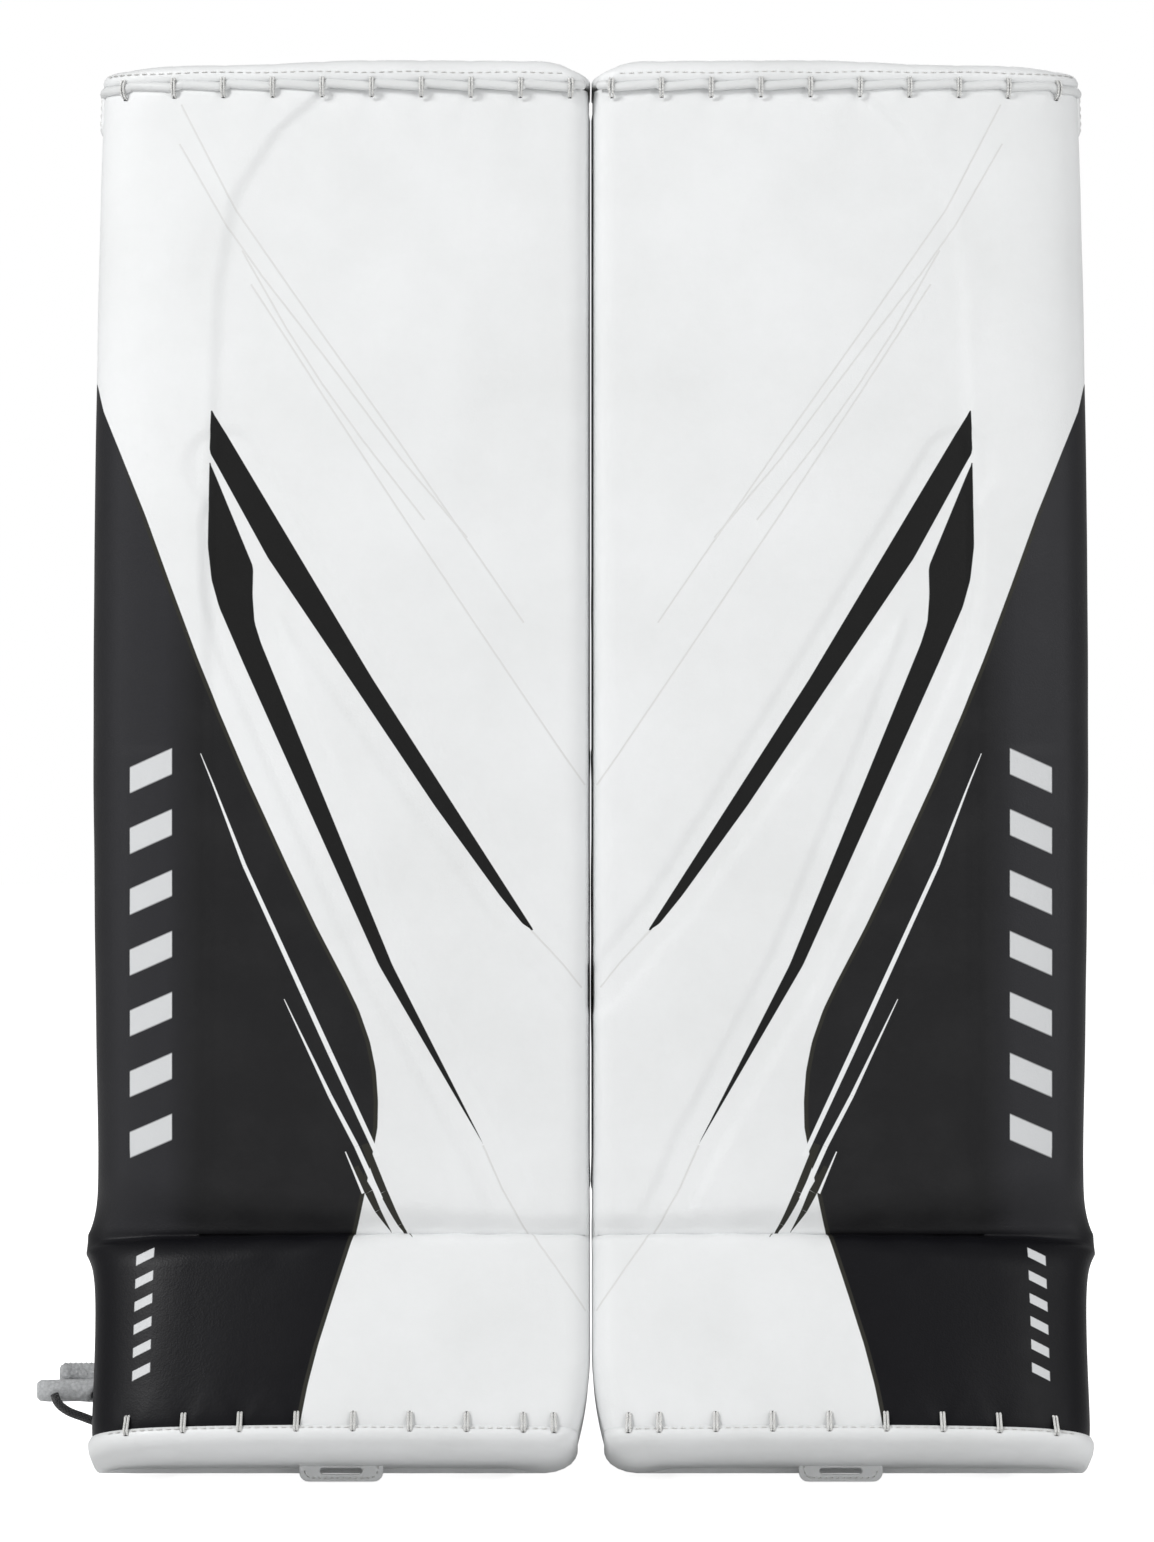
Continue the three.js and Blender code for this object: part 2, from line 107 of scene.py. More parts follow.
class Graph:
    """A material's node tree, with short ways to add nodes and set or link their inputs."""

    def __init__(self, name):
        self.material = bpy.data.materials.new(name)
        self.material.use_nodes = True
        self.tree = self.material.node_tree
        self.shader = self.tree.nodes["Principled BSDF"]

    def plug(self, socket, value):
        if isinstance(value, bpy.types.NodeSocket):
            self.tree.links.new(value, socket)
        else:
            socket.default_value = value

    def node(self, kind, *values, output=0, **settings):
        made = self.tree.nodes.new("ShaderNode" + kind)
        for key, value in settings.items():
            setattr(made, key, value)
        for socket, value in zip(made.inputs, values):
            if value is not None:
                self.plug(socket, value)
        return made.outputs[output]

    def math(self, operation, *values):
        return self.node("Math", *values, operation=operation)

    def vector(self, operation, *values, output=0):
        return self.node("VectorMath", *values, operation=operation, output=output)

    def mix(self, share, a, b):
        made = self.tree.nodes.new("ShaderNodeMix")
        made.data_type = "RGBA"
        for name, value in (("Factor_Float", share), ("A_Color", a), ("B_Color", b)):
            self.plug(next(s for s in made.inputs if s.identifier == name), value)
        return next(s for s in made.outputs if s.identifier == "Result_Color")

    def noise(self, where, scale, detail=3.0, roughness=0.6):
        made = self.tree.nodes.new("ShaderNodeTexNoise")
        self.plug(made.inputs["Vector"], where)
        made.inputs["Scale"].default_value = scale
        made.inputs["Detail"].default_value = detail
        made.inputs["Roughness"].default_value = roughness
        return made.outputs[0]

    def cells(self, where, scale, feature="F1"):
        made = self.tree.nodes.new("ShaderNodeTexVoronoi")
        made.feature = feature
        self.plug(made.inputs["Vector"], where)
        made.inputs["Scale"].default_value = scale
        return made.outputs[0]

    def split(self, vector):
        made = self.tree.nodes.new("ShaderNodeSeparateXYZ")
        self.plug(made.inputs[0], vector)
        return made.outputs

    def step(self, value, edge, soft):
        """0 below the edge and 1 above it, over the given soft width."""
        scaled = self.math("MULTIPLY_ADD", value, 1 / soft, 0.5 - edge / soft)
        return self.node("Clamp", scaled, 0.0, 1.0)

    def below(self, value, edge, soft):
        """1 below the edge and 0 above it."""
        return self.math("SUBTRACT", 1.0, self.step(value, edge, soft))

    def between(self, value, low, high, soft):
        return self.math("MULTIPLY", self.step(value, low, soft), self.below(value, high, soft))

    def uv(self):
        return self.node("TexCoord", output=2)

    def own(self):
        return self.node("TexCoord", output=3)

    def bump(self, height, distance, strength=1.0, below=None):
        made = self.tree.nodes.new("ShaderNodeBump")
        made.inputs["Strength"].default_value = strength
        made.inputs["Distance"].default_value = distance
        self.plug(made.inputs["Height"], height)
        if below is not None:
            self.plug(made.inputs["Normal"], below)
        return made.outputs[0]

    def finish(self, color, roughness, normal=None, sheen=0.0, specular=0.5):
        inputs = self.shader.inputs
        self.plug(inputs["Base Color"], color)
        self.plug(inputs["Roughness"], roughness)
        inputs["Specular IOR Level"].default_value = specular
        if normal is not None:
            self.plug(inputs["Normal"], normal)
        if sheen:
            inputs["Sheen Weight"].default_value = sheen
            inputs["Sheen Roughness"].default_value = 0.4
        return self.material


WHITE = (0.80, 0.81, 0.815, 1.0)
WHITE_DUSTY = (0.74, 0.75, 0.75, 1.0)
BLACK = (0.0140, 0.0140, 0.0150, 1.0)
BLACK_WORN = (0.018, 0.018, 0.019, 1.0)
# A darker black for the boot below the break: painted shade, as its tilted face turns away from the light.
BOOT_SHADE_BLACK = (0.0045, 0.0045, 0.0060, 1.0)
# A lighter black laid along the outer roll: painted highlight where light catches the roll's curve.
ROLL_HIGHLIGHT_BLACK = (0.0240, 0.0240, 0.0270, 1.0)
STRIPE = (0.0105, 0.0105, 0.0105, 1.0)
OLIVE = (0.028, 0.027, 0.022, 1.0)
HAIRLINE = (0.69, 0.69, 0.685, 1.0)
LETTERING = (0.62, 0.63, 0.64, 1.0)


def leather_grain(graph, where):
    """Height of a fine leather grain: pebbles of about a millimetre, with softer swells."""
    pebbles = graph.cells(where, 900.0)
    swells = graph.noise(where, 220.0, 4.0)
    return graph.math("MULTIPLY_ADD", pebbles, 0.6, swells)


def plain_leather(name, color, worn, roughness):
    graph = Graph(name)
    where = graph.own()
    patches = graph.noise(where, 14.0, 4.0)
    shade = graph.mix(graph.step(patches, 0.55, 0.3), color, worn)
    rough = graph.math("MULTIPLY_ADD", graph.noise(where, 60.0), 0.2, roughness - 0.1)
    normal = graph.bump(leather_grain(graph, where), 0.00012, 0.6)
    return graph.finish(shade, rough, normal)


# The printed face, as outlines u = f(h) in millimetres, where h is the height along the skin.
BLACK_EDGE = [
    (150, 640), (138.4, 621.7), (134.6, 606.8), (125.2, 584.2), (110.2, 546.9), (95.3, 505.7), (82.1, 470),
    (68.9, 436.2), (52.1, 396.9), (29.9, 348.6), (13.3, 313.8), (-3.4, 281.9), (-10.7, 266.8),
    (-17, 248.7), (-20.3, 232.2), (-21.5, 215.4), (-21.2, 200.3), (-18.9, 187.9), (-13.6, 161),
    (-7.9, 136), (2.3, 102), (11, 72), (16.4, 49), (20.7, 25),
]
UPPER_STRIPE = {
    "inner": [(72.3, 605.7), (-18, 454.8), (-109.6, 312)],
    "outer": [(72.8, 605.8), (74, 582.5), (41, 522.6), (-5.6, 453.7), (-53.4, 382.5), (-90.2, 331.7),
              (-104.5, 314), (-109.4, 311.8)],
}
LOWER_STRIPE = {
    "inner": [(73.7, 576.4), (49.3, 517.5), (49.7, 501.4), (48.6, 486.2), (44.9, 474.3), (-29.7, 292),
              (-81, 191)],
    "outer": [(74, 576.4), (74.8, 544.7), (75.1, 529.4), (73.1, 510.2), (68.9, 495), (54.8, 462.5),
              (-22, 292), (-81.4, 190)],
}
WHITE_LINES = [
    [(78.8, 411.9, 0.4), (54.2, 348.6, 2.2), (20.9, 276, 2.6), (5.7, 242.7, 2.8), (-21.5, 184, 2.6)],
    [(31.6, 272.9, 0.4), (5.7, 218.4, 2.2), (-9.4, 189.7, 2.6), (-23, 160, 3.0)],
    [(-3.1, 186.7, 0.6), (-13.2, 163.3, 1.6)],
]
BLACK_LINES = [
    [(-8.5, 178, 4.0), (-16.5, 164, 4.6), (-21.5, 154, 3.4), (-29, 141, 0.3)],
    [(-14, 191, 4.0), (-24.7, 164, 4.6), (-34, 146, 2.8), (-41, 134, 0.3)],
]
HAIRLINES = [
    [(89, 778), (58, 718), (10, 649), (-35, 586), (-80, 521), (-104, 486)],
    [(90, 756), (63, 709), (44, 682), (10, 638), (-35, 578), (-72, 534)],
    [(55, 696), (30, 652), (10, 621), (-13, 589), (-48, 544)],
    [(50, 677), (10, 615), (-35, 547), (-80, 480), (-126, 412), (-139, 394)],
    [(-108, 312), (-124, 295), (-138, 279)],
    [(-81, 190), (-92, 165), (-107, 139), (-122, 118), (-138, 94)],
]
HAIRLINE_WIDTH = 1.0
# Each ladder of bars: its reach in u, its start in height at u = 0, its number of bars and their pitch.
ROLL_BARS = ((95, 119), 235, 7, 34.5)
BOOT_BARS = ((105, 115), 105, 6, 13.3)
CURVE_HEIGHT = 800.0
CURVE_WIDTH = 300.0


def printed_leather():
    """The pads' face: black and white areas, stripes, fine lines and plain bars in a grained skin."""
    graph = Graph("printed_leather")
    where = graph.node("UVMap", uv_map="print")
    cloth = graph.node("UVMap", uv_map="cloth")
    u, h = graph.split(where)[:2]
    share = graph.math("MULTIPLY", h, 1 / (CURVE_HEIGHT * MM))

    def edge(points):
        made = graph.tree.nodes.new("ShaderNodeFloatCurve")
        curve = made.mapping.curves[0]
        ordered = sorted((hh / CURVE_HEIGHT, uu / CURVE_WIDTH + 0.5) for uu, hh in points)
        while len(curve.points) < len(ordered):
            curve.points.new(0.5, 0.5)
        for point, place_at in zip(curve.points, ordered):
            point.location = place_at
            point.handle_type = "VECTOR"
        made.mapping.extend = "HORIZONTAL"
        made.mapping.update()
        graph.plug(made.inputs["Value"], share)
        centred = graph.math("SUBTRACT", made.outputs[0], 0.5)
        return graph.math("MULTIPLY", centred, CURVE_WIDTH * MM)

    def beyond(points, soft=0.4):
        return graph.step(graph.math("SUBTRACT", u, edge(points)), 0.0, soft * MM)

    def stripe(edges):
        heights = [hh for side in edges.values() for _, hh in side]
        inside = graph.math("SUBTRACT", beyond(edges["inner"]), beyond(edges["outer"]))
        reach = graph.between(h, min(heights) * MM, max(heights) * MM, 0.4 * MM)
        return graph.node("Clamp", graph.math("MULTIPLY", inside, reach), 0.0, 1.0)

    def strokes(lines):
        """Drawn lines, each through (u, h, width) points."""
        total = 0.0
        for line in lines:
            for (u0, h0, w0), (u1, h1, w1) in zip(line, line[1:]):
                length = math.hypot(u1 - u0, h1 - h0)
                from_start = graph.vector("SUBTRACT", where, (u0 * MM, h0 * MM, 0.0))
                unit = ((u1 - u0) / length, (h1 - h0) / length, 0.0)
                along = graph.vector("DOT_PRODUCT", from_start, unit, output=1)
                across = graph.vector("DOT_PRODUCT", from_start, (-unit[1], unit[0], 0.0), output=1)
                half = graph.math("MULTIPLY_ADD", along, (w1 - w0) / (2 * length), w0 * MM / 2)
                inside = graph.math("SUBTRACT", half, graph.math("ABSOLUTE", across))
                reach = graph.between(along, 0.0, length * MM, 0.2 * MM)
                part = graph.math("MULTIPLY", graph.step(inside, 0.0, 0.3 * MM), reach)
                total = graph.math("MAXIMUM", total, part)
        return total

    def bars(u_range, start, count, pitch):
        """A ladder of slanting bars of even width in place of lettering."""
        slanted = graph.math("MULTIPLY_ADD", u, 0.45, graph.math("SUBTRACT", h, start * MM))
        turns = graph.math("MULTIPLY", slanted, 1 / (pitch * MM))
        bar = graph.between(graph.math("FRACT", turns), 0.03, 0.45, 0.03)
        across = graph.between(u, u_range[0] * MM, u_range[1] * MM, 0.5 * MM)
        area = graph.math("MULTIPLY", across, graph.between(turns, 0.0, count, 0.01))
        return graph.math("MULTIPLY", area, bar)

    black = beyond(BLACK_EDGE)
    from_edge = graph.math("SUBTRACT", u, edge(BLACK_EDGE))
    lower_part = graph.below(h, 560 * MM, 60 * MM)
    border = graph.math("MULTIPLY", graph.between(from_edge, 0.0, 2.4 * MM, 0.5 * MM), lower_part)
    stripes = graph.math("MAXIMUM", stripe(UPPER_STRIPE), stripe(LOWER_STRIPE))
    hairlines = strokes([[(*point, HAIRLINE_WIDTH) for point in line] for line in HAIRLINES])
    lettering = graph.math("MAXIMUM", bars(*ROLL_BARS), bars(*BOOT_BARS))

    worn = graph.step(graph.noise(cloth, 9.0, 5.0), 0.56, 0.4)
    white = graph.mix(worn, WHITE, WHITE_DUSTY)
    # The black: real wear in random patches, then a painted highlight on the roll and painted shade on the
    # boot.
    worn_black_painted_light = graph.mix(graph.step(graph.noise(cloth, 26.0, 5.0), 0.6, 0.3), BLACK, BLACK_WORN)
    # Painted highlight: the black is made lighter across the outer roll, where light catches its curve.
    worn_black_painted_light = graph.mix(graph.between(u, 90 * MM, 134 * MM, 18 * MM), worn_black_painted_light, ROLL_HIGHLIGHT_BLACK)
    # Painted shade: the black is made darker on the boot below the break, which faces away from the light.
    worn_black_painted_light = graph.mix(graph.below(h, BREAK_Z * MM, 8 * MM), worn_black_painted_light, BOOT_SHADE_BLACK)
    color = graph.mix(hairlines, white, HAIRLINE)
    color = graph.mix(stripes, color, STRIPE)
    color = graph.mix(black, color, worn_black_painted_light)
    color = graph.mix(border, color, OLIVE)
    color = graph.mix(strokes(BLACK_LINES), color, OLIVE)
    color = graph.mix(strokes(WHITE_LINES), color, WHITE)
    color = graph.mix(lettering, color, LETTERING)

    dark = graph.node("Clamp", graph.math("MAXIMUM", black, stripes), 0.0, 1.0)
    patchy = graph.math("MULTIPLY_ADD", graph.noise(cloth, 45.0), 0.16, 0.40)
    roughness = graph.math("MULTIPLY_ADD", dark, -0.06, patchy)
    grooves = graph.math("MULTIPLY", hairlines, -0.5)
    ink = graph.math("MULTIPLY_ADD", stripes, 0.5, graph.math("ADD", grooves, lettering))
    raised = graph.bump(ink, 0.00025, 0.8)
    normal = graph.bump(leather_grain(graph, cloth), 0.00012, 0.7, raised)
    return graph.finish(color, roughness, normal, specular=0.16)


def woven(name, color, lift, pitch, roughness=0.8, sheen=0.15):
    """A plain weave: warp and weft crests alternate in a fine check."""
    graph = Graph(name)
    where = graph.own()
    x, _, z = graph.split(where)
    rate = 2 * math.pi / (pitch * MM)
    first = graph.math("SINE", graph.math("MULTIPLY", x, rate))
    second = graph.math("SINE", graph.math("MULTIPLY", z, rate))
    weave = graph.math("MULTIPLY", first, second)
    fuzz = graph.noise(where, 1500.0, 2.0)
    height = graph.math("MULTIPLY_ADD", fuzz, 0.7, weave)
    mottle = graph.noise(where, 30.0, 4.0)
    level = graph.math("MULTIPLY_ADD", weave, 0.25, mottle)
    shade = graph.mix(graph.step(level, 0.5, 1.1), color, lift)
    return graph.finish(shade, roughness, graph.bump(height, 0.00025, 0.8), sheen)


def webbing(name, color, lift):
    """Strap webbing: a herringbone of ribs along the strap, from its own flat coordinates."""
    graph = Graph(name)
    along, across = graph.split(graph.uv())[:2]
    rib = 0.0022
    zigzag = graph.math("PINGPONG", across, 2 * rib)
    run = graph.math("ADD", along, graph.math("MULTIPLY", zigzag, 0.8))
    crests = graph.math("SINE", graph.math("MULTIPLY", run, 2 * math.pi / 0.0016))
    ribs = graph.math("SINE", graph.math("MULTIPLY", across, 2 * math.pi / rib))
    height = graph.math("MULTIPLY_ADD", ribs, 0.6, crests)
    mottle = graph.noise(graph.own(), 45.0, 4.0)
    level = graph.math("MULTIPLY_ADD", crests, 0.25, mottle)
    shade = graph.mix(graph.step(level, 0.5, 1.0), color, lift)
    return graph.finish(shade, 0.75, graph.bump(height, 0.0003, 0.9), 0.2)


def fuzzy(name, color, lift, scale=1300.0):
    """Brushed loop tape or liner: short tangled pile."""
    graph = Graph(name)
    where = graph.own()
    pile = graph.noise(where, scale, 5.0, 0.75)
    tufts = graph.cells(where, scale * 0.35)
    shade = graph.mix(graph.step(graph.math("MULTIPLY_ADD", tufts, 0.5, pile), 0.72, 0.5), lift, color)
    height = graph.math("MULTIPLY_ADD", tufts, -0.6, pile)
    return graph.finish(shade, 0.95, graph.bump(height, 0.0006, 0.9), 0.5, 0.2)


def mesh_liner(name, color, lift):
    """Spacer mesh: small round holes in offset rows over a soft knit."""
    graph = Graph(name)
    where = graph.own()
    holes = graph.cells(where, 330.0)
    knit = graph.noise(where, 900.0, 3.0)
    open_part = graph.step(holes, 0.5, 0.3)
    soft = graph.mix(graph.step(knit, 0.5, 0.6), color, lift)
    shade = graph.mix(open_part, soft, (0.045, 0.046, 0.05, 1.0))
    height = graph.math("MULTIPLY_ADD", open_part, -1.0, graph.math("MULTIPLY", knit, 0.4))
    return graph.finish(shade, 0.92, graph.bump(height, 0.0005, 0.8), 0.35, 0.25)


def moulded(name, color, lift, roughness):
    graph = Graph(name)
    where = graph.own()
    flow = graph.noise(where, 120.0, 4.0)
    shade = graph.mix(graph.step(flow, 0.5, 0.5), color, lift)
    rough = graph.math("MULTIPLY_ADD", flow, 0.15, roughness)
    return graph.finish(shade, rough, graph.bump(graph.noise(where, 900.0), 0.00008, 0.6))


def foam(name, color, lift):
    graph = Graph(name)
    where = graph.own()
    bubbles = graph.cells(where, 700.0)
    shade = graph.mix(graph.step(bubbles, 0.4, 0.5), lift, color)
    return graph.finish(shade, 0.9, graph.bump(bubbles, 0.0004, 0.7))


def braid(name, color, lift):
    """Braided elastic: two families of strands that cross round the cord."""
    graph = Graph(name)
    along, around = graph.split(graph.uv())[:2]
    rate = 2 * math.pi / 0.0021
    left = graph.math("SINE", graph.math("MULTIPLY", graph.math("ADD", along, around), rate))
    right = graph.math("SINE", graph.math("MULTIPLY", graph.math("SUBTRACT", along, around), rate))
    strands = graph.math("MAXIMUM", left, right)
    shade = graph.mix(graph.step(strands, 0.5, 0.9), color, lift)
    return graph.finish(shade, 0.7, graph.bump(strands, 0.0004, 0.9), 0.25)


def floor_paper():
    """White paper that also glows a little, for the camera only."""
    graph = Graph("floor_paper")
    where = graph.own()
    fibres = graph.noise(where, 400.0, 4.0)
    shade = graph.mix(graph.step(fibres, 0.5, 0.8), (0.86, 0.86, 0.86, 1.0), (0.88, 0.88, 0.88, 1.0))
    inputs = graph.shader.inputs
    inputs["Emission Color"].default_value = (1.0, 1.0, 1.0, 1.0)
    seen = graph.node("LightPath")
    graph.plug(inputs["Emission Strength"], graph.math("MULTIPLY", seen, 0.8))
    return graph.finish(shade, 0.9, graph.bump(fibres, 0.0001, 0.3), specular=0.1)


PRINT = printed_leather()
LEATHER = plain_leather("white_leather", WHITE, WHITE_DUSTY, 0.47)
PIPING = plain_leather("piping_leather", (0.72, 0.73, 0.73, 1.0), (0.66, 0.67, 0.67, 1.0), 0.45)
BINDING = woven("binding_tape", (0.022, 0.022, 0.024, 1.0), (0.045, 0.045, 0.048, 1.0), 1.1)
REAR_CLOTH = woven("rear_cloth", (0.030, 0.030, 0.033, 1.0), (0.060, 0.060, 0.064, 1.0), 1.6)
LINER = mesh_liner("liner_mesh", (0.075, 0.077, 0.082, 1.0), (0.13, 0.135, 0.14, 1.0))
WEBBING = webbing("strap_webbing", (0.020, 0.020, 0.022, 1.0), (0.050, 0.050, 0.053, 1.0))
HOOK_TAPE = fuzzy("hook_tape", (0.016, 0.016, 0.017, 1.0), (0.055, 0.055, 0.058, 1.0), 900.0)
LOOP_TAPE = fuzzy("loop_tape", (0.42, 0.43, 0.44, 1.0), (0.66, 0.67, 0.68, 1.0))
PLASTIC = moulded("moulded_plastic", (0.020, 0.020, 0.022, 1.0), (0.030, 0.030, 0.032, 1.0), 0.32)
BOARD = moulded("stiff_board", (0.30, 0.31, 0.32, 1.0), (0.36, 0.37, 0.38, 1.0), 0.6)
FOAM = foam("foam", (0.78, 0.76, 0.70, 1.0), (0.66, 0.63, 0.55, 1.0))
CORD = braid("braided_cord", (0.012, 0.012, 0.013, 1.0), (0.045, 0.045, 0.048, 1.0))
WHITE_THREAD = webbing("white_thread", (0.80, 0.80, 0.78, 1.0), (0.87, 0.87, 0.85, 1.0))
DARK_THREAD = webbing("dark_thread", (0.05, 0.05, 0.053, 1.0), (0.11, 0.11, 0.115, 1.0))
# Dark capsules for the lace holes: painted shade standing in for the shade inside each hole.
HOLE_SHADE = foam("stitch_hole_shade", (0.02, 0.02, 0.02, 1.0), (0.035, 0.035, 0.035, 1.0))


# ---------------------------------------------------------------- mesh tools

def grid_faces(rows, columns, wrap=False):
    """Quads between rows of points; wrap joins each row's last column to its first."""
    r = np.arange(rows - 1)[:, None] * columns
    c = np.arange(columns if wrap else columns - 1)[None, :]
    a = r + c
    b = r + (c + 1) % columns
    quads = np.stack([a, b, b + columns, a + columns], axis=-1)
    return [tuple(quad) for quad in quads.reshape(-1, 4).tolist()]


def capped_faces(rows, columns):
    """Faces of a closed body through rings of points, filled at both ends."""
    ends = [tuple(range(columns))[::-1], tuple(range((rows - 1) * columns, rows * columns))]
    return grid_faces(rows, columns, wrap=True) + ends


def flipped(faces):
    return [tuple(reversed(face)) for face in faces]


def join(parts):
    """Several (points, faces, uvs) as one."""
    points, faces, uvs, start = [], [], [], 0
    for part_points, part_faces, part_uvs in parts:
        part_points = np.asarray(part_points, float).reshape(-1, 3)
        points.append(part_points)
        uvs.append(np.asarray(part_uvs, float).reshape(-1, 2))
        faces.extend(tuple(i + start for i in face) for face in part_faces)
        start += len(part_points)
    return np.concatenate(points), faces, np.concatenate(uvs)


def piece(name, side, shape, material, body, replaces=(), extra_uvs=None, riding=True):
    """A shown piece from (points, faces, uvs) drawn in the pad's own axes."""
    points, faces, uvs = shape
    if SIDES[side] < 0:
        faces = flipped(faces)
    mesh = bpy.data.meshes.new(f"{side}_{name}")
    mesh.from_pydata(place(points, side).tolist(), [], faces)
    corners = np.zeros(len(mesh.loops), int)
    mesh.loops.foreach_get("vertex_index", corners)
    for layer_name, values in {"cloth": uvs, **(extra_uvs or {})}.items():
        layer = mesh.uv_layers.new(name=layer_name)
        flat = np.asarray(values, float).reshape(-1, 2)[corners] * MM
        layer.data.foreach_set("uv", flat.ravel())
    mesh.shade_smooth()
    mesh.materials.append(material)
    made = bpy.data.objects.new(f"{side}_{name}", mesh)
    bpy.context.scene.collection.objects.link(made)
    if riding:
        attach(made, f"{side}_{body}")
    if replaces:
        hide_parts(*(f"{side}_{node}" for node in replaces))
    return made


def lengths_along(points):
    steps = np.linalg.norm(np.diff(points, axis=0), axis=1)
    return np.concatenate([[0], np.cumsum(steps)])


def resample(points, spacing=None, count=None):
    points = np.asarray(points, float)
    run = lengths_along(points)
    count = count or max(2, int(run[-1] / spacing) + 1)
    wanted = np.linspace(0, run[-1], count)
    return np.column_stack([np.interp(wanted, run, points[:, k]) for k in range(points.shape[1])])


def smooth_line(points, count=60):
    """A smooth curve through the points (Catmull-Rom), evenly resampled."""
    points = np.asarray(points, float)
    padded = np.vstack([2 * points[0] - points[1], points, 2 * points[-1] - points[-2]])
    t = np.linspace(0, 1, 12, endpoint=False)[:, None]
    out = []
    for p0, p1, p2, p3 in zip(padded, padded[1:], padded[2:], padded[3:]):
        out.append(0.5 * (2 * p1 + (p2 - p0) * t + (2 * p0 - 5 * p1 + 4 * p2 - p3) * t**2
                          + (3 * p1 - p0 - 3 * p2 + p3) * t**3))
    return resample(np.vstack([*out, points[-1:]]), count=count)


def sweep(path, section, side_axis=None, sizes=None, caps=True):
    """A closed section of (across, out) points carried along a path of 3-D points.
    With a side axis the section's first direction stays on it; without one it doesn't twist."""
    path = np.asarray(path, float)
    tangents = np.gradient(path, axis=0)
    tangents /= np.linalg.norm(tangents, axis=1)[:, None]
    if side_axis is None:
        start = np.cross(tangents[0], [0.0, 0.0, 1.0])
        if np.linalg.norm(start) < 0.1:
            start = np.cross(tangents[0], [1.0, 0.0, 0.0])
        across = [start / np.linalg.norm(start)]
        for tangent in tangents[1:]:
            turned = across[-1] - tangent * (across[-1] @ tangent)
            across.append(turned / np.linalg.norm(turned))
        across = np.array(across)
    else:
        across = np.tile(np.asarray(side_axis, float), (len(path), 1))
    out = np.cross(across, tangents)
    out /= np.linalg.norm(out, axis=1)[:, None]
    section = np.asarray(section, float)
    sizes = np.ones((len(path), 2)) if sizes is None else np.asarray(sizes, float)
    rings = (path[:, None, :]
             + across[:, None, :] * (section[None, :, :1] * sizes[:, None, :1])
             + out[:, None, :] * (section[None, :, 1:] * sizes[:, None, 1:]))
    count = len(section)
    faces = capped_faces(len(path), count) if caps else grid_faces(len(path), count, wrap=True)
    around = np.concatenate([[0], np.cumsum(np.linalg.norm(np.diff(section, axis=0), axis=1))])
    run = lengths_along(path)
    uvs = np.stack(np.broadcast_arrays(run[:, None], around[None, :]), axis=-1)
    return rings.reshape(-1, 3), faces, uvs.reshape(-1, 2)


def circle(radius, sides=10):
    angles = np.linspace(0, 2 * math.pi, sides, endpoint=False)
    return np.column_stack([np.cos(angles), np.sin(angles)]) * radius


def rounded_box(width, height, radius, spacing=2.5):
    """A closed rounded rectangle, anticlockwise."""
    corners = []
    quarter = np.linspace(0, math.pi / 2, 5)
    centres = [(1, 1, 0), (-1, 1, 1), (-1, -1, 2), (1, -1, 3)]
    for x, y, turn in centres:
        angles = quarter + turn * math.pi / 2
        centre = (x * (width / 2 - radius), y * (height / 2 - radius))
        corners.append(np.column_stack([centre[0] + radius * np.cos(angles),
                                        centre[1] + radius * np.sin(angles)]))
    outline = np.vstack([*corners, corners[0][:1]])
    return resample(outline, spacing)[:-1]


def outline_path(u_range, z_range, corner, spacing=3.0):
    outline = rounded_box(u_range[1] - u_range[0], z_range[1] - z_range[0], corner, spacing)
    outline = outline + np.array([sum(u_range) / 2, sum(z_range) / 2])
    return np.vstack([outline, outline[:1]])


def tube(path, radius, sides=10):
    return sweep(path, circle(radius, sides))


def stitch(start, end, radius):
    """One thread stitch: a small capsule."""
    start, end = np.asarray(start, float), np.asarray(end, float)
    path = [mix(start, end, share) for share in (0.0, 0.08, 0.3, 0.7, 0.92, 1.0)]
    sizes = [(s, s) for s in (0.3, 0.8, 1.0, 1.0, 0.8, 0.3)]
    return sweep(path, circle(radius, 6), sizes=sizes)


def seam(line, pitch=5.0, dash=3.4, radius=0.45):
    """A row of stitches along a line of 3-D points."""
    run = lengths_along(np.asarray(line, float))
    starts = np.arange(0.5 * pitch, run[-1] - dash, pitch)
    points = np.asarray(line, float)

    def point(distance):
        return np.array([np.interp(distance, run, points[:, k]) for k in range(3)])

    return join([stitch(point(s), point(s + dash), radius) for s in starts])


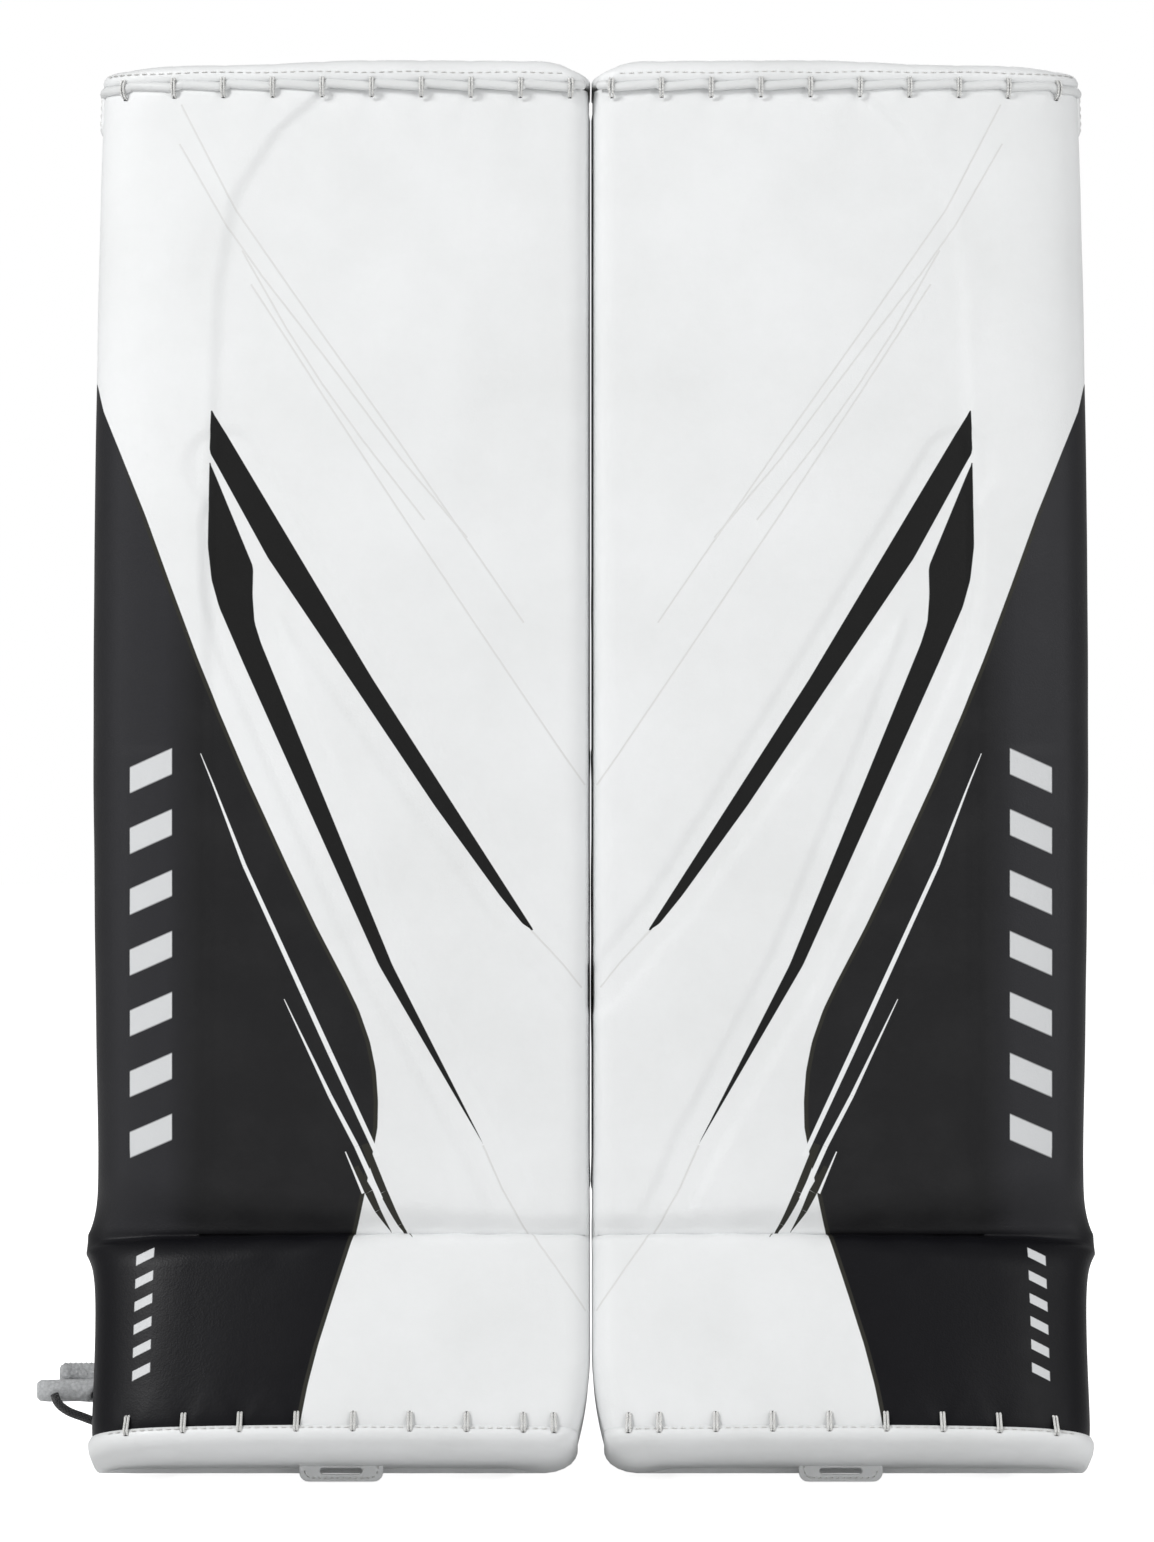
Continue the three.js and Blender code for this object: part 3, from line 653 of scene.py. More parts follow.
def quilt(u_range, z_range, corner, front, rear, edge=3.0, step=3.0, shape=None):
    """A flat-backed pad with a rounded outline, its surface at y = rear and its base at y = front.
    shape(u, z) adds to the surface. Front may lie on either side of rear."""
    columns = max(3, int((u_range[1] - u_range[0]) / step))
    rows = max(3, int((z_range[1] - z_range[0]) / step))
    half = ((u_range[1] - u_range[0]) / 2, (z_range[1] - z_range[0]) / 2)
    middle = (sum(u_range) / 2, sum(z_range) / 2)
    warp = np.sin(np.linspace(-1, 1, columns) * math.pi / 2) * 0.15 + np.linspace(-1, 1, columns) * 0.85
    rise = np.sin(np.linspace(-1, 1, rows) * math.pi / 2) * 0.15 + np.linspace(-1, 1, rows) * 0.85
    a, b = np.meshgrid(warp * half[0], rise * half[1])
    over_a = np.abs(a) - (half[0] - corner)
    over_b = np.abs(b) - (half[1] - corner)
    out = np.hypot(np.maximum(over_a, 0), np.maximum(over_b, 0))
    pull = np.where((over_a > 0) & (over_b > 0) & (out > corner), corner / np.maximum(out, 1e-9), 1.0)
    a = np.where(pull < 1, np.sign(a) * (half[0] - corner + over_a * pull), a)
    b = np.where(pull < 1, np.sign(b) * (half[1] - corner + over_b * pull), b)
    out = np.hypot(np.maximum(np.abs(a) - half[0] + corner, 0), np.maximum(np.abs(b) - half[1] + corner, 0))
    inside = np.where((np.abs(a) > half[0] - corner) & (np.abs(b) > half[1] - corner), corner - out,
                      np.minimum(half[0] - np.abs(a), half[1] - np.abs(b)))
    round_off = np.sqrt(np.clip(1 - (1 - ramp(inside, 0, edge)) ** 2, 0, 1))
    u, z = a + middle[0], b + middle[1]
    y = mix(front, rear, round_off)
    if shape is not None:
        y = y + shape(u, z) * round_off * np.sign(rear - front)
    points = np.stack([u, y, z], axis=-1).reshape(-1, 3)
    faces = grid_faces(rows, columns)
    border = [*range(columns), *range(2 * columns - 1, rows * columns, columns),
              *range(rows * columns - 2, (rows - 1) * columns - 1, -1),
              *range((rows - 2) * columns, 0, -columns)]
    faces.append(tuple(reversed(border)))
    if rear > front:
        faces = flipped(faces)
    uvs = np.stack([u, z], axis=-1).reshape(-1, 2)
    return points, faces, uvs


def plate(outlines, thickness, bevel):
    """A plate with holes from flat outlines, the first the outside one: (a, b, depth) points."""
    curve = bpy.data.curves.new("plate", "CURVE")
    curve.dimensions = "2D"
    curve.fill_mode = "BOTH"
    curve.extrude = thickness / 2 - bevel
    curve.bevel_depth = bevel
    curve.bevel_resolution = 2
    for outline in outlines:
        spline = curve.splines.new("POLY")
        spline.points.add(len(outline) - 1)
        for point, (y, z) in zip(spline.points, outline):
            point.co = (y, z, 0.0, 1.0)
        spline.use_cyclic_u = True
    curve.offset = -bevel
    holder = bpy.data.objects.new("plate", curve)
    mesh = holder.to_mesh()
    flat = np.array([v.co for v in mesh.vertices], float)
    faces = [tuple(p.vertices) for p in mesh.polygons]
    holder.to_mesh_clear()
    bpy.data.objects.remove(holder)
    return flat, faces, flat[:, :2]


# ---------------------------------------------------------------- the padded shape of one pad

WAIST_Z = 430.0
SKIN_TOP_Z = 787.0
INNER_ROUND = 16.0
ROLL_EDGE = 82.0
ROLL_DEPTH = 34.0
CROWN = 4.0
BOOT_TILT = math.radians(21)
BOOT_PIVOT_Z = 141.6
BOOT_TOP = -3.0
BOOT_SEAM = -114.0
BOOT_BACK = 54.0
BOOT_OUTER = 139.0
# The cloth coordinate's run round a closed ring of the pad.
GIRTH = 700.0
# Columns of a section: inner wall, inner corner, face, roll, outer wall.
COLUMN_COUNTS = (8, 12, 84, 30, 10)


def upper_depth(z):
    return -12 * ramp(z, WAIST_Z, TOP_Z) ** 2


def outer_edge(z):
    return HALF_WIDTH + 1 - 8 * ramp(z, WAIST_Z, TOP_Z) ** 2 - 4 * ramp(z, WAIST_Z, BREAK_Z) ** 2


def boot_inner(s):
    return -HALF_WIDTH + 7.2 * ramp(-s, 63, 114) ** 2


def section(depth, inner, outer, back):
    """The front of a level section as (u, y) columns, from the inner rear edge to the outer one."""
    def bend(a, b, c, count):
        t = np.linspace(0, 1, count, endpoint=False)[:, None]
        return (1 - t) ** 2 * np.array(a) + 2 * t * (1 - t) * np.array(b) + t**2 * np.array(c)

    wall_in, corner, face, roll, wall_out = COLUMN_COUNTS
    inner_top = (inner, depth + INNER_ROUND)
    face_start = (inner + INNER_ROUND, depth)
    roll_start = (ROLL_EDGE, depth)
    roll_end = (outer, depth + ROLL_DEPTH)
    hem = 8.0
    return np.vstack([
        [(inner + hem, back - 0.6), (inner + 1.0, back - 0.2)],
        np.linspace((inner, back - 1.5), inner_top, wall_in, endpoint=False),
        bend(inner_top, (inner, depth), face_start, corner),
        bend(face_start, (0.0, depth - 2 * CROWN), roll_start, face),
        bend(roll_start, (outer, depth + ROLL_DEPTH / 8), roll_end, roll),
        np.linspace(roll_end, (outer, back - 1.5), wall_out),
        [(outer - 1.0, back - 0.2), (outer - hem, back - 0.6)],
    ])


def front_weight():
    """1 on the face and roll columns, falling to 0 along the side walls."""
    wall_in, corner, face, roll, wall_out = COLUMN_COUNTS
    return np.concatenate([
        np.zeros(2), ease(np.linspace(-0.5, 0.4, wall_in), 0, 1), ease(np.linspace(0.4, 1, corner), 0, 1),
        np.ones(face), mix(1.0, 0.6, np.linspace(0, 1, roll)), mix(0.6, 0.0, np.linspace(0, 1, wall_out)),
        np.zeros(2),
    ])


def boot_point(u, t, s):
    """A point given in the boot's leaning frame, in the pad's own axes."""
    cos, sin = math.cos(BOOT_TILT), math.sin(BOOT_TILT)
    u, t, s = np.broadcast_arrays(u, t, s)
    return np.stack([u, t * cos + s * sin, BOOT_PIVOT_Z - t * sin + s * cos], axis=-1).astype(float)


TOP_LACES = np.linspace(-130, 121, 10)
TOE_LACES = np.concatenate([[-121], np.linspace(-104, 117, 8)])
RIDGE = [(8.7, 790), (40, 762), (63.5, 727), (72.6, 676), (75.4, 620), (80, 500), (80, 0)]
UPPER_CHANNEL = [(66, 575, 22), (11, 488, 20), (-49, 397, 17), (-100, 322, 14), (-138, 277, 13)]
LOWER_CHANNEL = [(59, 540, 22), (59, 505, 21), (50, 470, 20), (-26, 292, 17), (-81, 192, 15), (-107, 136, 14)]


def from_line(u, h, line):
    """Distance outside a band drawn through (u, h, half width) points; negative inside."""
    best = np.full(u.shape, 1e9)
    for (u0, h0, w0), (u1, h1, w1) in zip(line, line[1:]):
        du, dh = u1 - u0, h1 - h0
        t = np.clip(((u - u0) * du + (h - h0) * dh) / (du * du + dh * dh), 0, 1)
        distance = np.hypot(u - u0 - t * du, h - h0 - t * dh) - mix(w0, w1, t)
        best = np.minimum(best, distance)
    return best


def puckers(u, depth, laces, reach, height):
    """Gathers that fan out from each lace stitch, fading with depth from the seam."""
    total = np.zeros(u.shape)
    for lace in laces:
        spread = 5 + 0.45 * depth
        total -= height * np.exp(-((u - lace) / spread) ** 2)
        for turn in (-0.55, 0.5):
            centre = lace + turn * (depth + 6)
            total += 0.5 * height * np.exp(-((u - centre) / (2.5 + 0.15 * depth)) ** 2)
    return total * np.exp(-np.maximum(depth, 0) / reach)


def unevenness(u, h):
    """Low swells of a hand-stuffed pad."""
    waves = [(61, 143, 0.3), (97, -88, 1.9), (-160, 71, 4.1), (43, 260, 2.6), (230, -310, 0.9)]
    return sum(np.sin(2 * math.pi * (u / a + h / b) + phase) for a, b, phase in waves) / len(waves)


SKIN_LIFT = 1.7
DEEPEST = 2.0


def relief(u, h):
    """How far the skin stands out from its plain shape, in millimetres."""
    ridge_h, ridge_u = np.array(sorted((hh, uu) for uu, hh in RIDGE)).T
    inside_ridge = ease(np.interp(h, ridge_h, ridge_u) - u, 0, 9)
    total = -2.2 * inside_ridge * ease(h, 150, 200)
    for channel in (UPPER_CHANNEL, LOWER_CHANNEL):
        total -= 1.8 * (1 - ease(from_line(u, h, channel), -4, 0.5)) * ease(h, 142, 165)
    total += 0.35 * unevenness(u, h)
    total += puckers(u, SKIN_TOP_Z - h, TOP_LACES, 13.0, 1.1)
    total += puckers(u, h - (BREAK_Z + BOOT_SEAM), TOE_LACES, 10.0, 1.0)
    total -= 1.6 * np.exp(-(SKIN_TOP_Z - h) / 3.5) + 1.6 * np.exp(-(h - BREAK_Z - BOOT_SEAM) / 4.0)
    near_break = np.exp(-((h - BREAK_Z) / 16.0) ** 2)
    total += 0.35 * near_break * np.sin(u / 5.5 + 1.3 * np.sin(h / 7.0))
    patch = ease(u, 88, 91) * (1 - ease(u, 122, 125)) * ease(h, 184, 187) * (1 - ease(h, 413, 416))
    return np.maximum(total + 0.5 * patch + SKIN_LIFT, -DEEPEST)


def crease(u):
    """Depth and reach of the boot break's crease: shallow on the inner side, deep on the outer."""
    share = ease(u, -HALF_WIDTH, HALF_WIDTH)
    return mix(5.0, 13.0, share), mix(15.0, 38.0, share)


def fin(u, h):
    """The fold of skin that stands out at the break on the outer side."""
    return 8.5 * ease(u, 95, 141) * np.exp(-np.abs(h - 138.5) / 12.0)


def skin_grid():
    """The whole skin of one pad: points and print coordinates, in rows from the toe up."""
    front = front_weight()
    cos, sin = math.cos(BOOT_TILT), math.sin(BOOT_TILT)
    rows, heights = [], []
    boot_s = np.concatenate([np.arange(BOOT_SEAM - 1.5, -24, 2.8), np.linspace(-23, BOOT_TOP, 14)])
    for s in boot_s:
        line = section(0.0, boot_inner(s), BOOT_OUTER, BOOT_BACK)
        u, t = line[:, 0], line[:, 1]
        depth, reach = crease(u)
        lip = np.sqrt(np.clip(1 - (1 - ramp(-s, -BOOT_TOP, 0.55 * reach)) ** 2, 0, 1))
        t = t + 0.85 * depth * (1 - lip) * front
        u = u + fin(u, BREAK_Z + s) * (front > 0)
        rows.append(boot_point(u, t, s))
        heights.append(BREAK_Z + s)
    upper_z = np.concatenate([np.linspace(BREAK_Z, 182, 20), np.arange(185, 765, 3.0),
                              np.linspace(765, SKIN_TOP_Z, 14)])
    upper = []
    for z in upper_z:
        line = section(upper_depth(z), -HALF_WIDTH, outer_edge(z), BACK_Y)
        u, y = line[:, 0], line[:, 1]
        depth, reach = crease(u)
        y = y + depth * (1 - ease(z, BREAK_Z, BREAK_Z + reach)) ** 1.3 * front
        wedge = math.tan(math.radians(9)) * np.maximum(0, y - 12) * (1 - ramp(z, BREAK_Z, 165))
        u = u + fin(u, z) * (front > 0)
        upper.append(np.column_stack([u, y, z - wedge]))
    for share in (0.3, 0.6):
        fold = mix(rows[len(boot_s) - 1], upper[0], share)
        fold[:, 1] += 2.5 * front
        rows.append(fold)
        heights.append(mix(BREAK_Z + BOOT_TOP, BREAK_Z, share))
    points = np.array(rows + upper)
    h = np.array(heights + list(upper_z))
    h = np.broadcast_to(h[:, None], points.shape[:2])
    u = points[..., 0].copy()
    normals = np.cross(np.gradient(points, axis=1), np.gradient(points, axis=0))
    normals /= np.linalg.norm(normals, axis=2)[..., None]
    out = relief(u, h) * front[None, :]
    return points + normals * out[..., None], np.stack([u, h], axis=-1)


SKIN_POINTS, SKIN_PRINT = skin_grid()
SKIN_FACES = grid_faces(*SKIN_POINTS.shape[:2])


def front_of(line, u):
    """Point and outward direction on the front of a section, at the given u."""
    monotone = line[10:-12]
    at = np.array([np.interp(u, monotone[:, 0], monotone[:, k]) for k in (0, 1)])
    ahead = np.array([np.interp(u + 0.8, monotone[:, 0], monotone[:, k]) for k in (0, 1)])
    tangent = (ahead - at) / max(np.linalg.norm(ahead - at), 1e-6)
    return at, np.array([tangent[1], -tangent[0]])


def make_skin(side):
    rows, columns = SKIN_POINTS.shape[:2]
    run = np.concatenate([np.zeros((rows, 1)),
                          np.cumsum(np.linalg.norm(np.diff(SKIN_POINTS, axis=1), axis=2), axis=1)], axis=1)
    cloth = np.stack([run, SKIN_PRINT[..., 1]], axis=-1)
    made = piece("skin", side, (SKIN_POINTS.reshape(-1, 3), SKIN_FACES, cloth.reshape(-1, 2)), PRINT,
                 "pad", ("face_skin", "boot_skin"), {"print": SKIN_PRINT.reshape(-1, 2)},
                 riding=False)
    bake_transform(made)
    return made


# ---------------------------------------------------------------- top and toe bindings

def upper_front(u, z, out):
    """A point that stands out from the front of the upper pad."""
    at, normal = front_of(section(upper_depth(z), -HALF_WIDTH, outer_edge(z), BACK_Y), u)
    return np.array([*(at + normal * out), z])


def boot_front(u, s, out):
    """A point that stands out from the front of the boot."""
    at, normal = front_of(section(0.0, boot_inner(s), BOOT_OUTER, BOOT_BACK), u)
    at = at + normal * out
    return boot_point(at[0], at[1], s)


def closed_ring(line, count=260):
    """A section's line closed across the back."""
    front = line[2:-2]
    rear = np.linspace(front[-1], front[0], 60)
    return resample(np.vstack([front, rear[1:]]), count=count + 1)[:-1]


def swell(ring, distance):
    """A closed ring moved outwards; less on the inner side, where the other pad stands."""
    tangent = np.roll(ring, -1, axis=0) - np.roll(ring, 1, axis=0)
    tangent /= np.linalg.norm(tangent, axis=1)[:, None]
    distance = np.where(ring[:, 0] < -132, np.minimum(distance, 0.6), distance)[:, None]
    return ring + np.column_stack([tangent[:, 1], -tangent[:, 0]]) * distance


def stack(rings):
    """A closed body through rings of 3-D points, lowest first, filled at both ends."""
    rings = np.asarray(rings, float)
    count = rings.shape[1]
    around = np.linspace(0, GIRTH, count)
    uvs = np.stack(np.broadcast_arrays(around[None, :], rings[..., 2]), axis=-1)
    return rings.reshape(-1, 3), capped_faces(len(rings), count), uvs.reshape(-1, 2)


def scallop(u):
    """The piping rides up just past each lace and sinks towards the next."""
    after = np.searchsorted(TOP_LACES, u)
    upper = np.append(TOP_LACES, 160.0)[np.minimum(after, len(TOP_LACES))]
    lower = np.insert(TOP_LACES, 0, -160.0)[after]
    past = (upper - u) / (upper - lower)
    return 2.1 * (1 - past) * ease(past, 0, 0.1)


# The way of a lace over its seam and the places of its holes, as (height, distance out) points.
TOP_ROUTE = [(782.0, 0.6), (782.7, 1.7), (785.6, 3.8), (788.8, 4.1), (791.8, 3.0), (792.9, 1.4)]
TOP_HOLES = [(781.8, 1.0), (793.2, 1.4)]
TOE_ROUTE = [(-105.6, 0.7), (-106.4, 1.9), (-109.0, 2.3), (-112.0, 3.0), (-114.6, 3.5), (-116.6, 2.3)]
TOE_HOLES = [(-105.4, 1.2), (-116.8, 2.6)]


def lacing(side, name, body, laces, front, route, holes, strand, hole):
    """Two strands over the seam at each lace, and dark capsules of painted shade at the holes they pull into.
    strand and hole are (half width, thread radius)."""
    strands, dark = [], []
    for lace in laces:
        for shift in (-strand[0], strand[0]):
            points = [front(lace + shift, z, out) for z, out in route]
            strands.append(tube(smooth_line(points, 18), strand[1], 8))
        # Painted shade: a dark capsule at each hole the strands pull into.
        for z, out in holes:
            dark.append(stitch(front(lace - hole[0], z, out), front(lace + hole[0], z, out), hole[1]))
    piece(name + "_laces", side, join(strands), WHITE_THREAD, body)
    piece(name + "_lace_holes", side, join(dark), HOLE_SHADE, body)


# Rows of the binding cap from its lower edge: height, and how far it stands out.
CAP_ROWS = [(789.0, -2.5), (790.6, 0.0), (792.6, 1.5), (795.5, 2.1), (798.5, 1.6), (801.0, 0.2),
            (802.4, -2.0), (803.0, -5.0)]


def make_top(side):
    ring = closed_ring(section(upper_depth(TOP_Z), -HALF_WIDTH, outer_edge(TOP_Z), BACK_Y + 3.3))
    rings = []
    for z, out in CAP_ROWS:
        shaped = swell(ring, out)
        level = ramp(z, CAP_ROWS[0][0], TOP_Z)
        drop = 2.5 * ease(ring[:, 0], -20, 60) + 2.0 * ease(ring[:, 0], 90, 132)
        drop += 9.5 * ramp(-ring[:, 0], 112, 141) ** 2
        sag = 0.5 * puckers(ring[:, 0], np.zeros(len(ring)), TOP_LACES, 10.0, 0.9)
        rings.append(np.column_stack([shaped, z - drop * level + sag * level]))
    for share in (0.3, 0.65, 0.95):
        spine = np.column_stack([np.clip(ring[:, 0], -105, 100), np.full(len(ring), 30.0)])
        inwards = mix(rings[len(CAP_ROWS) - 1][:, :2], spine, share)
        z = rings[len(CAP_ROWS) - 1][:, 2] + 0.4 * share
        rings.append(np.column_stack([inwards, z]))
    cap = piece("binding_cap", side, stack(rings), LEATHER, "pad", ("top_cap",))

    line = section(upper_depth(788), -HALF_WIDTH, outer_edge(788), BACK_Y)[16:-3]
    tangent = np.gradient(line, axis=0)
    normal = np.column_stack([tangent[:, 1], -tangent[:, 0]])
    normal /= np.linalg.norm(normal, axis=1)[:, None]
    path = line + normal * 0.9
    ride_up = np.array([scallop(u) for u in path[:, 0]]) * ease(-path[:, 1], -30, -10)
    path = resample(np.column_stack([path, 787.6 + ride_up]), 1.5)
    piece("piping_bead", side, tube(path, 2.6, 12), PIPING, "pad", ("top_piping",))

    lacing(side, "top", "pad", TOP_LACES, upper_front, TOP_ROUTE, TOP_HOLES, (0.75, 0.6), (1.1, 0.4))
    line = [upper_front(u, 795.4 + 0.3 * math.sin(u / 9), 2.35) for u in np.arange(-128, 131, 2.0)]
    piece("top_seam", side, seam(line, 5.0, 3.2), WHITE_THREAD, "pad")

    points, faces, uvs = quilt((18, 60), (764, 794), 9, 0.0, 2.6, 2.4, 1.5)
    wall = outer_edge(points[:, 2])
    flap = np.column_stack([wall - 0.4 + points[:, 1], points[:, 0], points[:, 2]])
    piece("binding_flap", side, (flap, flipped(faces), uvs), LEATHER, "pad")
    outline = rounded_box(36, 24, 6, 2.0)[:-8] + np.array([39, 779])
    stitches = [(outer_edge(z) + 2.3, y, z) for y, z in outline]
    piece("flap_seam", side, seam(stitches, 4.4, 2.8, 0.4), WHITE_THREAD, "pad")


# Rows of the toe band: height s, depth kept, and how far it draws in on the inner and outer side.
BAND_ROWS = [(-112.6, 0.985, 0.3, 0.3), (-113.2, 1.03, -0.8, -1.6), (-115.5, 1.055, -0.6, -2.6),
             (-118.5, 1.045, 0.6, -2.6), (-121.5, 1.0, 3.0, -2.0), (-124.0, 0.92, 7.0, -1.0),
             (-125.8, 0.78, 12.0, 0.5), (-126.6, 0.6, 18.0, 2.0), (-126.4, 0.4, 24.0, 5.0),
             (-125.2, 0.2, 31.0, 9.0), (-124.0, 0.08, 37.0, 13.0)]


def make_toe(side):
    rear = BOOT_BACK + 3.3
    base = closed_ring(section(0.0, boot_inner(BOOT_SEAM), BOOT_OUTER, rear))
    rings = []
    for s, deep, inner_in, outer_in in reversed(BAND_ROWS):
        u, t = base.T
        u = u + inner_in * ramp(-u, 80, 134) ** 1.5 - outer_in * ramp(u, 95, 139) ** 1.5
        t = rear - (rear - t) * deep
        gather = 0.6 * puckers(u, np.full(len(u), max(0.0, -113 - s)), TOE_LACES, 12.0, 1.2)
        rings.append(boot_point(u, t - gather, s))
    band = piece("toe_band", side, stack(rings), LEATHER, "boot", ("toe_cap",))

    lacing(side, "toe", "boot", TOE_LACES, boot_front, TOE_ROUTE, TOE_HOLES, (0.85, 0.75), (1.2, 0.32))
    line = [boot_front(u, -114.8, 3.0) for u in np.arange(-124, 131, 2.0)]
    piece("toe_seam", side, seam(line, 5.0, 3.0), WHITE_THREAD, "boot")

    low, high = own_box("toe_tab")
    middle, width = (low[0] + high[0]) / 2, high[0] - low[0]
    outline = rounded_box(width, 16, 5, 1.5) + np.array([middle, 8.2])
    slot_hole = rounded_box(24, 3.4, 1.5, 1.0) + np.array([middle, 6.2])
    flat, faces, uvs = plate([outline, slot_hole], 3.0, 0.7)
    points = np.column_stack([flat[:, 0], low[1] + 1.5 + flat[:, 2], flat[:, 1]])
    shape = (points, flipped(faces), uvs)
    tab = piece("floor_tab", side, shape, LEATHER, "boot", ("toe_tab",))
    tab.data.shade_flat()
    around = rounded_box(width - 6, 12.5, 4, 1.5)[20:] + np.array([middle, 8.6])
    line = [(u, low[1] - 0.1, z) for u, z in around if z < 12]
    piece("tab_seam", side, seam(line, 3.4, 2.2, 0.35), WHITE_THREAD, "boot")


# ---------------------------------------------------------------- toe tie

CORD_RADIUS = 2.5
TIE_START = np.array([126.0, 21.04, 25.87])
CORD_ROUTES = {
    "left": [(126.4, 27, 23.9), (129, 31, 23.9), (137, 33, 27), (148, 31.5, 31.5), (157, 29.5, 35.3),
             (162.8, 29.5, 39.8), (165.4, 31.2, 45)],
    "right": [(126.4, 27, 23.9), (128, 34, 22.9), (131, 42, 24), (134, 51, 27), (136, 60, 32),
              (136.4, 67, 38), (136, 72, 44)],
}


def tie_place(side, points):
    """Points along, across and up from the sleeve's near end, in the pad's own axes."""
    along, across, up = np.asarray(points, float).reshape(-1, 3).T
    if side == "left":
        return np.column_stack([127 + along, 40.5 + across, 46 + up])
    return np.column_stack([126.5 - across, 40 + along, 46 + up])


def make_tie(side):
    path = smooth_line([TIE_START, *CORD_ROUTES[side]], 90)
    cord = piece("tie_cord", side, tube(path, CORD_RADIUS, 14), CORD, "toe_tie", ("toe_cord",))

    length, radius, count = 49.0, 6.3, 44
    angles = np.linspace(0, 2 * math.pi, count, endpoint=False)
    across, up = radius * np.cos(angles), radius * np.sin(angles) * (1 - 0.12 * np.cos(angles))
    mouth = 3.0 + 17.0 * ramp(-across - 0.5 * up, -4, 9)
    stations = [(1.0, 0.0, 0.72), (0.55, 0.0, 0.70), (0.0, 0.0, 0.80), (0.0, 0.02, 0.99), (0.0, 0.12, 1.02),
                (0.0, 0.3, 0.98), (0.0, 0.55, 1.01), (0.0, 0.8, 0.99), (0.0, 0.95, 0.94), (0.0, 1.0, 0.7)]
    rings = []
    for inside, share, size in stations:
        a = mix(mouth, length, share) + 14.0 * inside
        ripple = 1 + 0.03 * np.sin(3 * angles + 9 * share)
        rings.append(np.column_stack([a, across * size * ripple, up * size * ripple]))
    rings = np.array(rings)
    uvs = np.stack(np.broadcast_arrays(rings[..., 0], angles[None, :] * radius), axis=-1).reshape(-1, 2)
    shape = (tie_place(side, rings), capped_faces(len(rings), count), uvs)
    sleeve = piece("tie_sleeve", side, shape, LOOP_TAPE, "toe_tie", ("toe_sleeve",))

    def fuzzed(a, b):
        return 0.35 * np.sin(a * 2.9 + 2 * np.sin(b * 1.7)) + 0.3 * np.sin(b * 3.3)

    flat, faces, uvs = quilt((1, 37), (2, 15), 4, 6.6, 10.4, 1.6, 0.9,
                             fuzzed)
    ragged = 0.35 * np.sin(flat[:, 0] * 2.1) * (flat[:, 2] > 13)
    points = tie_place(side, np.column_stack([flat[:, 0], flat[:, 1], flat[:, 2] + ragged]))
    end = piece("tie_strap_end", side, (points, faces, uvs), LOOP_TAPE, "toe_tie",
                ("toe_strap",))

    turn = np.linspace(0, 2 * math.pi, 33)
    rear = BOOT_BACK + 3.6
    rim = boot_point(126 + 4.5 * np.cos(turn), rear + 1.0, -100.5 + 4.5 * np.sin(turn))
    shape = sweep(rim, circle(1.5, 8), caps=False)
    piece("eyelet_ring", side, shape, PLASTIC, "boot", ("toe_eyelet",))


# ---------------------------------------------------------------- stuffed pieces behind

def mesh_arrays(mesh):
    points = np.zeros(len(mesh.vertices) * 3)
    mesh.vertices.foreach_get("co", points)
    return points.reshape(-1, 3), [tuple(p.vertices) for p in mesh.polygons]


def evaluated(holder):
    graph = bpy.context.evaluated_depsgraph_get()
    return bpy.data.meshes.new_from_object(holder.evaluated_get(graph))


VOXEL = 5.0
PRESSURE = 4.0
CLOTH_FRAMES = 20


def stuffed(node, crown):
    """The right pad's node as a stuffed piece: simulated cloth under pressure, fitted to the node's box."""
    holder = bpy.data.objects.new("stuffing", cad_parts["right_" + node].data.copy())
    bpy.context.scene.collection.objects.link(holder)
    remesh = holder.modifiers.new("remesh", "REMESH")
    remesh.mode = "VOXEL"
    remesh.voxel_size = VOXEL * MM
    holder.data = evaluated(holder)
    holder.modifiers.clear()
    rest, faces = mesh_arrays(holder.data)
    moved = rest
    cloth = holder.modifiers.new("cloth", "CLOTH")
    cloth.settings.quality = 5
    cloth.settings.use_pressure = True
    cloth.settings.uniform_pressure_force = PRESSURE
    cloth.settings.effector_weights.gravity = 0.0
    cloth.settings.tension_stiffness = 20
    cloth.settings.compression_stiffness = 20
    cloth.settings.bending_stiffness = 1.0
    cloth.point_cache.frame_start = 1
    cloth.point_cache.frame_end = CLOTH_FRAMES
    for number in range(1, CLOTH_FRAMES + 1):
        bpy.context.scene.frame_set(number)
    moved, faces = mesh_arrays(evaluated(holder))
    bpy.context.scene.frame_set(1)
    steps = moved - rest
    size = np.linalg.norm(steps, axis=1)[:, None]
    moved = rest + steps * np.minimum(1.0, crown * MM / np.maximum(size, 1e-9))
    holder.modifiers.clear()
    low, high = moved.min(0), moved.max(0)
    box_low, box_high = (np.array(corner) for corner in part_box("right_" + node))
    moved = box_low + (moved - low) / (high - low) * (box_high - box_low)
    holder.data.vertices.foreach_set("co", moved.ravel())
    holder.modifiers.new("smooth", "SUBSURF").levels = 1
    points, faces = mesh_arrays(evaluated(holder))
    bpy.data.objects.remove(holder)
    return points / MM - np.array([CENTRE_X, FACE_Y, 0.0]), faces


def behind(tree, u, z, lift=0.2):
    hit = tree.ray_cast(Vector((u, 300.0, z)), Vector((0.0, -1.0, 0.0)))
    return (u, hit[0].y + lift, z) if hit[0] else None


def grooves(points, lines, depth, width):
    """Presses quilting lines into the rear of a stuffed piece."""
    low, high = points.min(0), points.max(0)
    rear = ease(points[:, 1], mix(low[1], high[1], 0.45), mix(low[1], high[1], 0.8))
    for line in lines:
        distance = from_line(points[:, 0], points[:, 2], [(u, z, 0.0) for u, z in line])
        points[:, 1] -= depth * np.exp(-((distance / width) ** 2)) * rear
    return points


